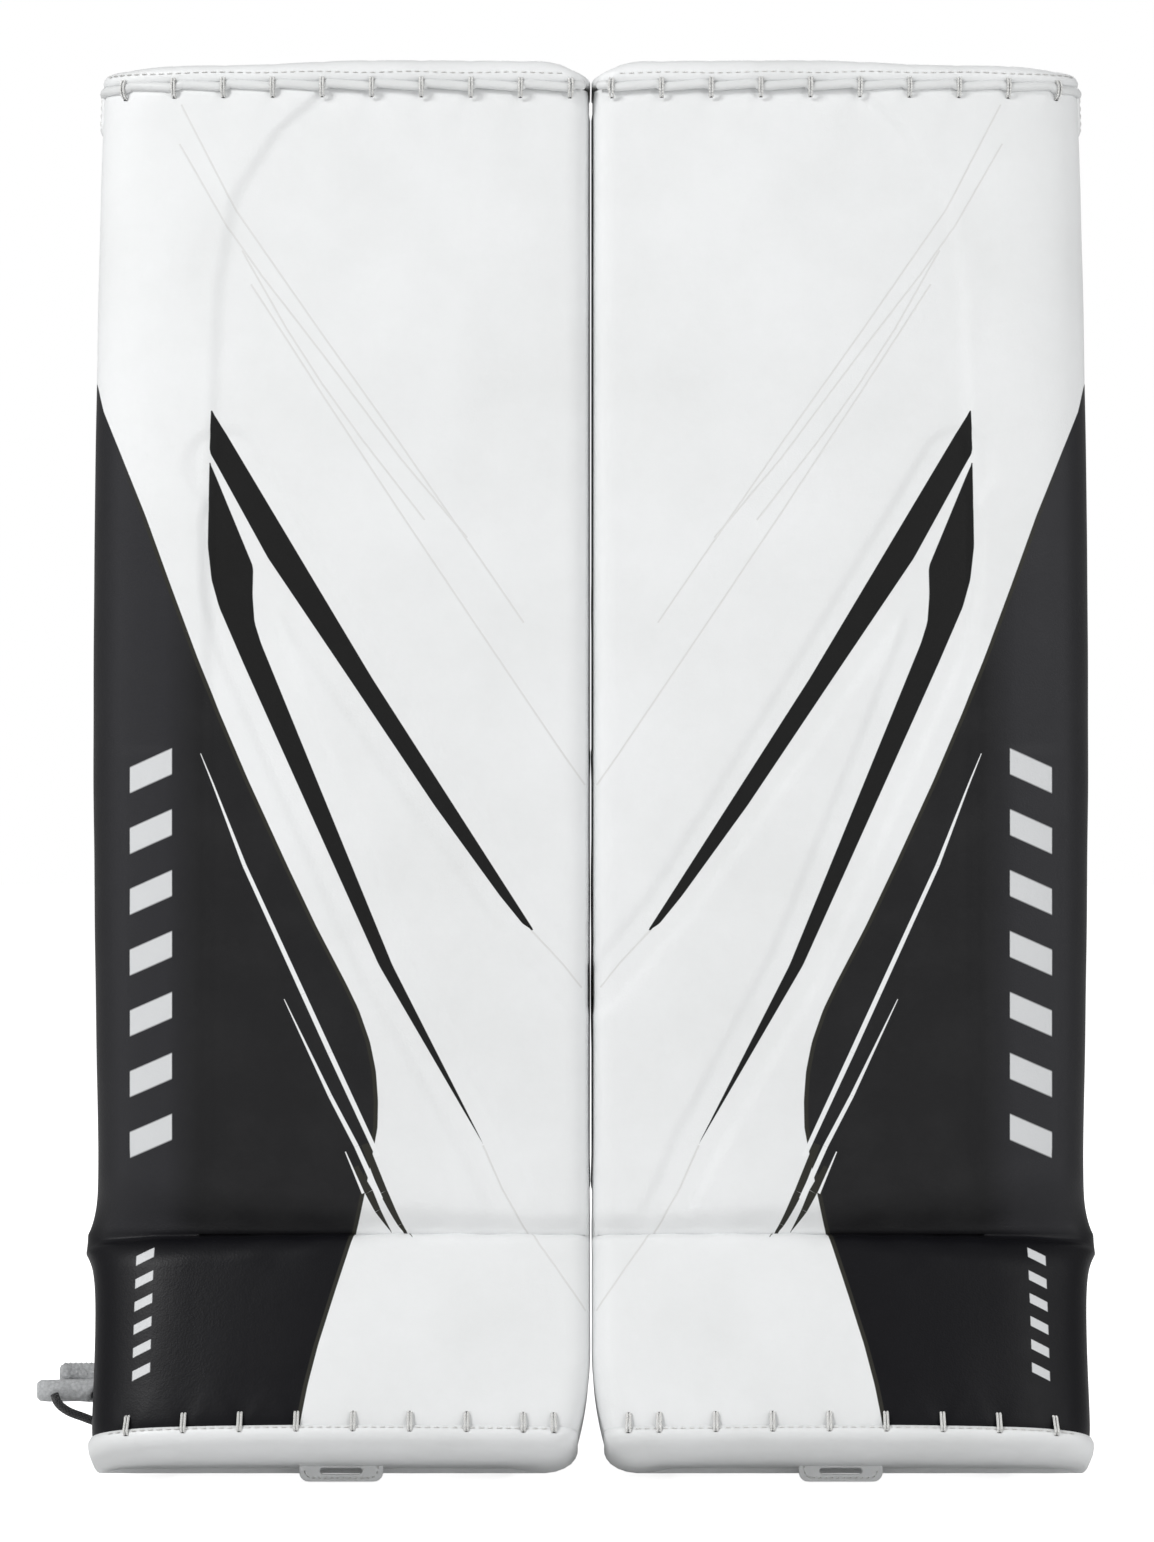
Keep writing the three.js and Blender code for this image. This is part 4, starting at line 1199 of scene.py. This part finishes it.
STUFFED = {
    "knee_block": {
        "fill": 0.9, "material": LINER, "depth": 4.0, "crown": 5.0,
        "lines": [[(-145, 475), (-70, 475)], [(-145, 535), (-70, 535)]],
    },
    "knee_cradle": {
        "fill": 0.7, "material": LINER, "depth": 4.0, "crown": 4.0,
        "lines": [[(-75, 464), (112, 464)], [(-75, 498), (112, 498)], [(-75, 532), (112, 532)]],
    },
    "shin_cradle": {
        "fill": 0.7, "material": LINER, "depth": 4.0, "crown": 4.0,
        "lines": [[(-20, 160), (-20, 420)], [(30, 160), (30, 420)]],
    },
    "calf_wedge": {
        "fill": 0.85, "material": LINER, "depth": 3.5, "crown": 5.0,
        "lines": [[(-145, 245), (-90, 245)], [(-145, 350), (-90, 350)]],
    },
    "slide_edge": {
        "fill": 0.95, "material": LEATHER, "depth": 1.2, "crown": 2.0,
        "lines": [[(-104, 150), (-104, 424)]],
    },
}


def rim_of(tree, low, high):
    """The line round a stuffed piece's side walls, half way through its depth."""
    centre = (low + high) / 2
    rim = []
    for u, z in outline_path((low[0], high[0]), (low[2], high[2]), 10, 4.0):
        start = np.array([u, centre[1], z])
        inwards = Vector(centre - start).normalized()
        hit = tree.ray_cast(Vector(start) - inwards * 20, inwards)
        if hit[0]:
            rim.append(np.array(hit[0]) + np.array(inwards) * 0.9)
    return resample(rim, 3.0)


def make_stuffed():
    """Each stuffed piece is simulated once, on the right pad, and shown on both."""
    for node, plan in STUFFED.items():
        points, faces = stuffed(node, plan["crown"])
        points = grooves(points, plan["lines"], plan["depth"], 4.5)
        tree = BVHTree.FromPolygons([Vector(p) for p in points], faces)
        low, high = points.min(0), points.max(0)
        stitches = []
        for line in plan["lines"]:
            ends = np.clip(line, [low[0] + 7, low[2] + 7], [high[0] - 7, high[2] - 7])
            walked = [behind(tree, u, z) for u, z in resample(ends, 1.5)]
            stitches.append(seam([p for p in walked if p], 5.0, 3.2, 0.5))
        bead = tube(rim_of(tree, low, high), 1.7, 8)
        if plan["material"] is LEATHER:
            thread, edging, slot_name = WHITE_THREAD, PIPING, "white_leather"
        else:
            thread, edging, slot_name = DARK_THREAD, BINDING, "liner"
        for side in SIDES:
            shape = (points, faces, points[:, [0, 2]])
            made = piece(node + "_pad", side, shape, plan["material"], "pad", (node,))
            piece(node + "_seams", side, join(stitches), thread, "pad")
            piece(node + "_piping", side, bead, edging, "pad")


# ---------------------------------------------------------------- back panels, wings and straps

def make_break_cover(side):
    """The cloth behind the boot break, folded inwards between the two rear panels."""
    columns = np.linspace(-134, 131, 60)
    low = [boot_point(u, BOOT_BACK + 1.6, -17.0) for u in columns]
    high = np.column_stack([columns, np.full(60, BACK_Y + 1.8), np.full(60, 158.0)])
    low = np.array(low)
    rows = []
    for share in np.linspace(0, 1, 18):
        row = mix(low, high, share)
        row[:, 1] += 3.0 * math.sin(math.pi * share) - 5.0 * math.exp(-(((share - 0.45) / 0.16) ** 2))
        row[:, 1] += 0.4 * np.sin(columns / 6 + 4 * share) * math.sin(math.pi * share)
        rows.append(row)
    points = np.array(rows[::-1])
    uvs = np.stack([points[..., 0], points[..., 2]], axis=-1).reshape(-1, 2)
    made = piece("break_cover", side, (points.reshape(-1, 3), grid_faces(18, 60), uvs), REAR_CLOTH,
                 "pad", riding=False)
    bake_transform(made)


def make_back(side):
    low, high = own_box("back_panel")
    across, tall = (low[0], high[0]), (low[2], high[2] - 1)
    panel_lines = [[(-86, 600), (-86, 790)], [(86, 600), (86, 790)], [(-140, 590), (133, 590)],
                   [(-140, 690), (133, 690)]]

    def pressed(u, z):
        total = np.zeros(u.shape)
        for line in panel_lines:
            distance = from_line(u, z, [(a, b, 0.0) for a, b in line])
            total -= 1.6 * np.exp(-((distance / 4.0) ** 2))
        return total + 1.2 * ease(z, 585, 600)

    shape = quilt(across, tall, 10, low[1] + 0.1, high[1], 2.0, 3.0, pressed)
    panel = piece("rear_panel", side, shape, REAR_CLOTH, "pad", ("back_panel",))
    path = [(u, high[1] - 0.6, z) for u, z in outline_path(across, tall, 10)]
    sizes = rounded_box(3.2, 7.0, 1.5, 1.0)
    piece("rear_binding", side, sweep(path, sizes[:, ::-1], caps=False), BINDING, "pad")
    inner_line = outline_path((across[0] + 8, across[1] - 8), (tall[0] + 8, tall[1] - 8), 8, 2.0)
    stitches = [seam([(u, high[1] + 0.9 * ease(z, 585, 600) + 0.2, z) for u, z in inner_line])]
    for line in panel_lines:
        run = resample(np.clip(line, [across[0] + 9, tall[0]], [across[1] - 9, tall[1] - 9]), 2.0)
        stitches.append(seam([(u, high[1] - 0.6, z) for u, z in run]))
    piece("rear_seams", side, join(stitches), DARK_THREAD, "pad")

    points, faces, uvs = quilt((-132, 137), (-113.5, -8), 6, BOOT_BACK + 0.3, BOOT_BACK + 3.2, 2.0, 3.0,
                               lambda u, s: -0.9 * np.exp(-(((np.abs(u) - 70) / 4.0) ** 2)))
    made = boot_point(*points.T)
    panel = piece("boot_rear_panel", side, (made, faces, uvs), REAR_CLOTH, "boot",
                  ("boot_back_panel",))
    line = [boot_point(u, BOOT_BACK + 3.3, s) for u, s in outline_path((-125, 130), (-107, -14), 6, 2.0)]
    piece("boot_rear_seam", side, seam(line), DARK_THREAD, "boot")


WING_ROOT = np.array([129.5, 76.8])
WING_THICK = 13.0
STRAP_THICK = 3.0
WING_RIBS = (0.33, 0.66)
UP = (0.0, 0.0, 1.0)
WINGS = {
    "knee": {"reach": 72.0, "curl": 24.0, "rest_y": 140.0, "pull_tab": LOOP_TAPE},
    "calf": {"reach": 62.0, "curl": 18.0, "rest_y": 135.0, "pull_tab": HOOK_TAPE},
}


def bezier(points, count=16):
    """Points along a quadratic or cubic Bezier curve, without its start."""
    t = np.linspace(0, 1, count + 1)[1:, None]
    degree = len(points) - 1
    return sum(math.comb(degree, i) * (1 - t) ** (degree - i) * t**i * np.array(p, float)
               for i, p in enumerate(points))


def offset_left(line, distance):
    tangent = np.gradient(np.asarray(line, float), axis=0)
    tangent /= np.linalg.norm(tangent, axis=1)[:, None]
    return line + np.column_stack([-tangent[:, 1], tangent[:, 0]]) * distance


def wing_line(reach, curl):
    """Outer face of a wing as (u, y)."""
    u = WING_ROOT[0] + WING_THICK / 2
    y = WING_ROOT[1]
    straight = (u, y + 0.35 * reach)
    bent = bezier([straight, (u, y + 0.85 * reach), (u - curl, y + reach)], 18)
    return np.vstack([np.linspace((u, y), straight, 8), bent])


def strap_line(reach, curl, rest_y):
    on_wing = offset_left(wing_line(reach, curl), -(STRAP_THICK + 0.3))[4:]
    end = on_wing[-1]
    lie = rest_y + STRAP_THICK + 0.3
    behind_y = lie + 22
    round_leg = bezier([end, (end[0] - 22, end[1] + 14), (40, behind_y), (0, behind_y)], 24)
    to_pad = bezier([(0, behind_y), (-45, behind_y), (-70, lie), (-98, lie)], 20)
    return np.vstack([on_wing, round_leg, to_pad, np.linspace((-100, lie), (-136, lie), 10)])


def level_path(line, z):
    return np.column_stack([line, np.full(len(line), z)])


def crossed_box(centre, width, height):
    """Lines of a sewn box with a cross in it, as (along, up) offsets."""
    a, b = width / 2, height / 2
    x, z = centre
    corners = [(x - a, z - b), (x + a, z - b), (x + a, z + b), (x - a, z + b), (x - a, z - b)]
    return [corners, [(x - a, z - b), (x + a, z + b)], [(x - a, z + b), (x + a, z - b)]]


def sewn_on(line, run_start, plan, z_mid, lift):
    """Stitches of a crossed box laid on a level strap line, at a distance along it."""
    run = lengths_along(line)
    outside = offset_left(line, -lift)
    stitches = []
    for path in crossed_box((run_start, 0), *plan):
        points = []
        for distance, up in resample(path, 1.2):
            at = [np.interp(distance, run, outside[:, k]) for k in (0, 1)]
            points.append((*at, z_mid + up))
        stitches.append(seam(points, 3.6, 2.4, 0.4))
    return join(stitches)


def make_wing(side, name):
    """An outer wing: a curled slab with two pressed ribs and a bound edge."""
    plan = WINGS[name]
    low, high = own_box(name + "_wing")
    height, z_mid = high[2] - low[2], (low[2] + high[2]) / 2
    face = resample(wing_line(plan["reach"], plan["curl"]), 2.0)
    middle = offset_left(face, WING_THICK / 2)
    count = len(middle)
    run = np.linspace(0, 1, count)
    thick = np.sqrt(np.clip(1 - (1 - ramp(run, -0.01, 0.08)) ** 2, 0.02, 1))
    thick *= np.sqrt(np.clip(1 - ramp(run, 0.88, 1.005) ** 2, 0.02, 1))
    tall = 1 - 0.07 * ramp(run, 0.8, 1.0) ** 2
    slab = rounded_box(height, WING_THICK, 5.5, 2.5)
    rings, faces, uvs = sweep(level_path(middle, z_mid), slab, UP, np.column_stack([tall, thick]))
    rings = rings.reshape(count, -1, 3)
    centre = level_path(middle, 0.0)
    for rib in WING_RIBS:
        z_rib = mix(low[2], high[2], rib)
        squeeze = 0.3 * np.exp(-(((rings[..., 2] - z_rib) / 4.5) ** 2)) * ease(run, 0.05, 0.2)[:, None]
        away = rings[..., :2] - centre[:, None, :2]
        rings[..., :2] -= away * squeeze[..., None]
    wing = piece(name + "_wing_pad", side, (rings.reshape(-1, 3), faces, uvs), REAR_CLOTH,
                 name + "_wing", (name + "_wing",))

    half = height / 2 - 2.5
    inset = middle[2:-2]
    up = level_path(inset, z_mid + half)
    down = level_path(inset, z_mid - half)[::-1]
    edge = np.array([[*middle[-2], z] for z in np.linspace(z_mid + half - 5, z_mid - half + 5, 24)])
    path = smooth_line(np.vstack([up[:-1:4], up[-1:], edge[::4], down[:1], down[1::4]]), 160)
    piece(name + "_wing_binding", side, tube(path, 3.4, 12), BINDING, name + "_wing")
    groove = offset_left(face, 0.30 * WING_THICK / 2)
    outside = offset_left(face, -0.1)
    stitches = [seam(level_path(groove[6:-5], mix(low[2], high[2], rib))) for rib in WING_RIBS]
    for shift in (-1, 1):
        stitches.append(seam(level_path(outside[4:-6], z_mid + shift * (half - 8))))
    piece(name + "_wing_seams", side, join(stitches), DARK_THREAD, name + "_wing")


def make_strap(side, name):
    """A leg strap: sewn to the wing, round behind the leg, and stuck to the inner padding."""
    plan = WINGS[name]
    low, high = own_box(name + "_strap")
    width, z_mid = high[2] - low[2], (low[2] + high[2]) / 2
    line = resample(strap_line(plan["reach"], plan["curl"], plan["rest_y"]), 2.5)
    sag = 1.2 * np.sin(np.linspace(0, math.pi, len(line))) * np.sin(np.linspace(0, 9, len(line)))
    path = np.column_stack([offset_left(line, STRAP_THICK / 2), z_mid + sag])
    sizes = np.ones((len(path), 2))
    sizes[-4:, 0] = [0.985, 0.96, 0.92, 0.84]
    wing, body = name + "_wing", name + "_strap"
    shape = sweep(path, rounded_box(width - 1.5, STRAP_THICK - 0.4, 1.0, 1.5), UP, sizes)
    web = piece(name + "_web", side, shape, WEBBING, body, (name + "_strap",), riding=False)
    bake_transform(web)

    def laid_on(stretch, lift):
        """Part of the strap's path, moved off its outer face."""
        moved = stretch.copy()
        moved[:, :2] = offset_left(moved[:, :2], -(STRAP_THICK / 2 + lift))
        return moved

    patch = sweep(laid_on(path[-22:-3], 0.4), rounded_box(width - 7, 1.4, 0.6, 1.5), UP)
    piece(name + "_hook_patch", side, patch, HOOK_TAPE, body)
    box = sewn_on(line, 5.6, (8, width - 12), z_mid, 0.25)
    piece(name + "_strap_box", side, box, DARK_THREAD, wing)
    stitches = []
    for shift in (-1, 1):
        edge = laid_on(path, -0.1) + np.array([0, 0, shift * (width / 2 - 4)])
        stitches.append(seam(resample(edge[12:-24], 2.5)))
    piece(name + "_strap_seams", side, join(stitches), DARK_THREAD, body)
    pull = sweep(laid_on(path[-5:], 0.8), rounded_box(width - 10, 2.2, 0.9, 1.5), UP)
    piece(name + "_pull_tab", side, pull, plan["pull_tab"], body)


# ---------------------------------------------------------------- boot channel

GUSSET_U = 92.0
GUSSET_THICK = 7.0
# The free edge of a gusset and the line of its binding, as (y, z) points.
GUSSET_EDGE = [(30, 0.2), (84, 0.2), (87, 20), (85, 60), (80, 96), (72, 110)]
BINDING_EDGE = [(31, 3.6), (81, 3.6), (83.6, 21), (81.6, 60), (77, 95), (70.5, 106)]


def rounded_outline(points, radius, spacing=2.5):
    """A closed polygon with its corners cut to soft bends."""
    points = np.asarray(points, float)
    out = []
    for before, corner, after in zip(np.roll(points, 1, 0), points, np.roll(points, -1, 0)):
        back, ahead = before - corner, after - corner
        reach = min(radius, 0.45 * np.linalg.norm(back), 0.45 * np.linalg.norm(ahead))
        a = corner + back / np.linalg.norm(back) * reach
        c = corner + ahead / np.linalg.norm(ahead) * reach
        out.append(np.vstack([[a], bezier([a, corner, c], 5)]))
    line = np.vstack([*out, out[0][:1]])
    return resample(line, spacing)[:-1]


def make_gussets(side):
    """The two side panels of the boot channel, bound along their free edges."""
    top = boot_point(0, BOOT_BACK + 3.6, -9)[1:]
    bottom = boot_point(0, BOOT_BACK + 3.6, -100)[1:]
    flat, faces, uvs = plate([rounded_outline([bottom, *GUSSET_EDGE, top], 9)], GUSSET_THICK, 2.4)
    edge = [p for p in rounded_outline(BINDING_EDGE, 7) if p[0] > 64 or p[1] < 4.2]
    order = np.argsort([math.atan2(p[1] - 50, p[0] - 40) for p in edge])
    edge = np.array(edge)[order]
    for name, start in (("outer", GUSSET_U), ("inner", -GUSSET_U - GUSSET_THICK)):
        middle = start + GUSSET_THICK / 2
        points = np.column_stack([middle + flat[:, 2], flat[:, 0], flat[:, 1]])
        panel = piece(f"gusset_{name}_pad", side, (points, faces, uvs), REAR_CLOTH, "boot",
                      (f"boot_gusset_{name}",))
        path = [(middle, y, z) for y, z in resample(edge, 3.0)]
        piece(f"gusset_{name}_binding", side, tube(path, 3.6, 12), BINDING, "boot")
        stitches = []
        for u in (start - 0.1, start + GUSSET_THICK + 0.1):
            stitches.append(seam([(u, mix(50.0, y, 0.86), mix(50.0, z, 0.9)) for y, z in edge]))
        piece(f"gusset_{name}_seams", side, join(stitches), DARK_THREAD, "boot")


def make_boot_strap(side):
    """The strap across the boot channel, with its sewn ends and its ladder buckle."""
    low, high = own_box("boot_strap")
    width, z_mid = high[2] - low[2], (low[2] + high[2]) / 2
    out_u, rear_y = high[0] - 1.25, high[1] - 1.25
    half_loop = np.vstack([np.linspace((out_u, low[1]), (out_u, 87), 12),
                           bezier([(out_u, 87), (out_u, 108), (60, rear_y), (0, rear_y)], 30)])
    loop = np.vstack([half_loop, half_loop[-2::-1] * np.array([-1, 1])])
    walked = resample(loop, 2.5)
    strap = sweep(level_path(walked, z_mid), rounded_box(width - 1, 2.1, 0.8, 1.2), UP)
    piece("boot_web", side, strap, WEBBING, "boot", ("boot_strap",))
    stitches = [sewn_on(loop[::-1], 9, (12, width - 8), z_mid, 1.3)]
    outside = offset_left(loop, -1.15)
    for shift in (-1, 1):
        run = level_path(resample(outside, 2.0)[24:-12], z_mid + shift * (width / 2 - 3.5))
        stitches.append(seam(run, 4.5, 3.0, 0.4))
    piece("boot_strap_seams", side, join(stitches), DARK_THREAD, "boot")
    tip = level_path(offset_left(walked[18:34], -2.2), z_mid)
    piece("boot_strap_tip", side, sweep(tip, rounded_box(width - 2.5, 1.9, 0.8, 1.2), UP), WEBBING,
          "boot")

    low, high = own_box("boot_buckle")
    middle = (low[1:] + high[1:]) / 2
    outline = rounded_box(24, high[2] - low[2] - 1, 5, 1.5) + middle
    slot_hole = rounded_box(4.2, width + 0.5, 1.8, 1.0) + middle
    holes = [slot_hole + np.array([shift, 0]) for shift in (-5.5, 5.5)]
    flat, faces, uvs = plate([outline, *holes], 3.4, 1.0)
    points = np.column_stack([low[0] + 1.8 + flat[:, 2], flat[:, 0], flat[:, 1]])
    buckle = piece("ladder_buckle", side, (points, faces, uvs), PLASTIC, "boot", ("boot_buckle",))
    buckle.data.shade_flat()
    bar = [(low[0] + 3.4, middle[0], middle[1] + shift) for shift in np.linspace(-12, 12, 8)]
    piece("buckle_bar", side, tube(bar, 1.9, 12), PLASTIC, "boot")


# ---------------------------------------------------------------- inner parts, stage, light and camera

def finish_inner_parts():
    for side in SIDES:
        for node, material, name in (("core", FOAM, "foam"), ("boot_core", FOAM, "foam"),
                                     ("spine_board", BOARD, "board")):
            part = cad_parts[f"{side}_{node}"]
            part.data.materials.clear()
            part.data.materials.append(material)


def make_stage():
    size = 14.0
    mesh = bpy.data.meshes.new("floor")
    corners = [(-size, -size, 0), (size, -size, 0), (size, size, 0), (-size, size, 0)]
    mesh.from_pydata(corners, [], [(0, 1, 2, 3)])
    mesh.materials.append(floor_paper())
    floor = bpy.data.objects.new("floor", mesh)
    floor.location.z = -0.0005
    bpy.context.scene.collection.objects.link(floor)
    world = bpy.data.worlds.new("studio")
    world.use_nodes = True
    tree = world.node_tree
    sky = tree.nodes["Background"]
    sky.inputs["Color"].default_value = (1.0, 1.0, 1.0, 1.0)
    seen = tree.nodes.new("ShaderNodeLightPath")
    strength = tree.nodes.new("ShaderNodeMapRange")
    strength.inputs["To Min"].default_value = 0.36
    strength.inputs["To Max"].default_value = 1.0
    tree.links.new(seen.outputs["Is Camera Ray"], strength.inputs["Value"])
    tree.links.new(strength.outputs["Result"], sky.inputs["Strength"])
    bpy.context.scene.world = world


# Where each lamp stands, its width and height in metres, and its power in watts.
LAMPS = {
    "key": ((-2.1, -2.0, 2.3), (0.8, 0.8), 58),
    "fill": ((1.8, -2.3, 1.3), (0.8, 1.6), 18),
    "side_strip": ((-1.5, -0.7, 0.7), (0.35, 1.6), 3),
    "other_strip": ((1.5, -0.7, 0.7), (0.35, 1.6), 4),
    "back": ((0.6, 2.6, 1.8), (1.6, 1.6), 22),
}
LIT_POINT = Vector((0.0, 0.0, 0.42))


def soft_light(name, location, size, power):
    light = bpy.data.lights.new(name, "AREA")
    light.shape = "RECTANGLE"
    light.size, light.size_y = size
    light.energy = power
    made = bpy.data.objects.new(name, light)
    made.location = location
    made.rotation_euler = (LIT_POINT - Vector(location)).to_track_quat("-Z", "Y").to_euler()
    bpy.context.scene.collection.objects.link(made)


def make_camera():
    """At the photo's angle: level with the middle of the pads and straight in front of them."""
    distance, shown_height, sensor = 2.7, 0.871, 36.0
    camera = bpy.data.cameras.new("camera")
    camera.sensor_width = sensor
    camera.lens = sensor * distance / shown_height
    made = bpy.data.objects.new("camera", camera)
    face = CAD_BOUNDS[0].y + 0.04
    made.location = (-0.0079, face - distance, 0.402)
    made.rotation_euler = (math.pi / 2, 0.0, 0.0)
    bpy.context.scene.collection.objects.link(made)
    bpy.context.scene.camera = made


make_camera()
make_stage()
for name, (location, size, power) in LAMPS.items():
    soft_light(name, location, size, power)
bpy.context.scene.view_settings.view_transform = "Standard"

for side in SIDES:
    make_tie(side)
    make_skin(side)
    make_top(side)
    make_toe(side)
    make_back(side)
    make_break_cover(side)
    make_gussets(side)
    make_boot_strap(side)
    for name in WINGS:
        make_wing(side, name)
        make_strap(side, name)
make_stuffed()
finish_inner_parts()
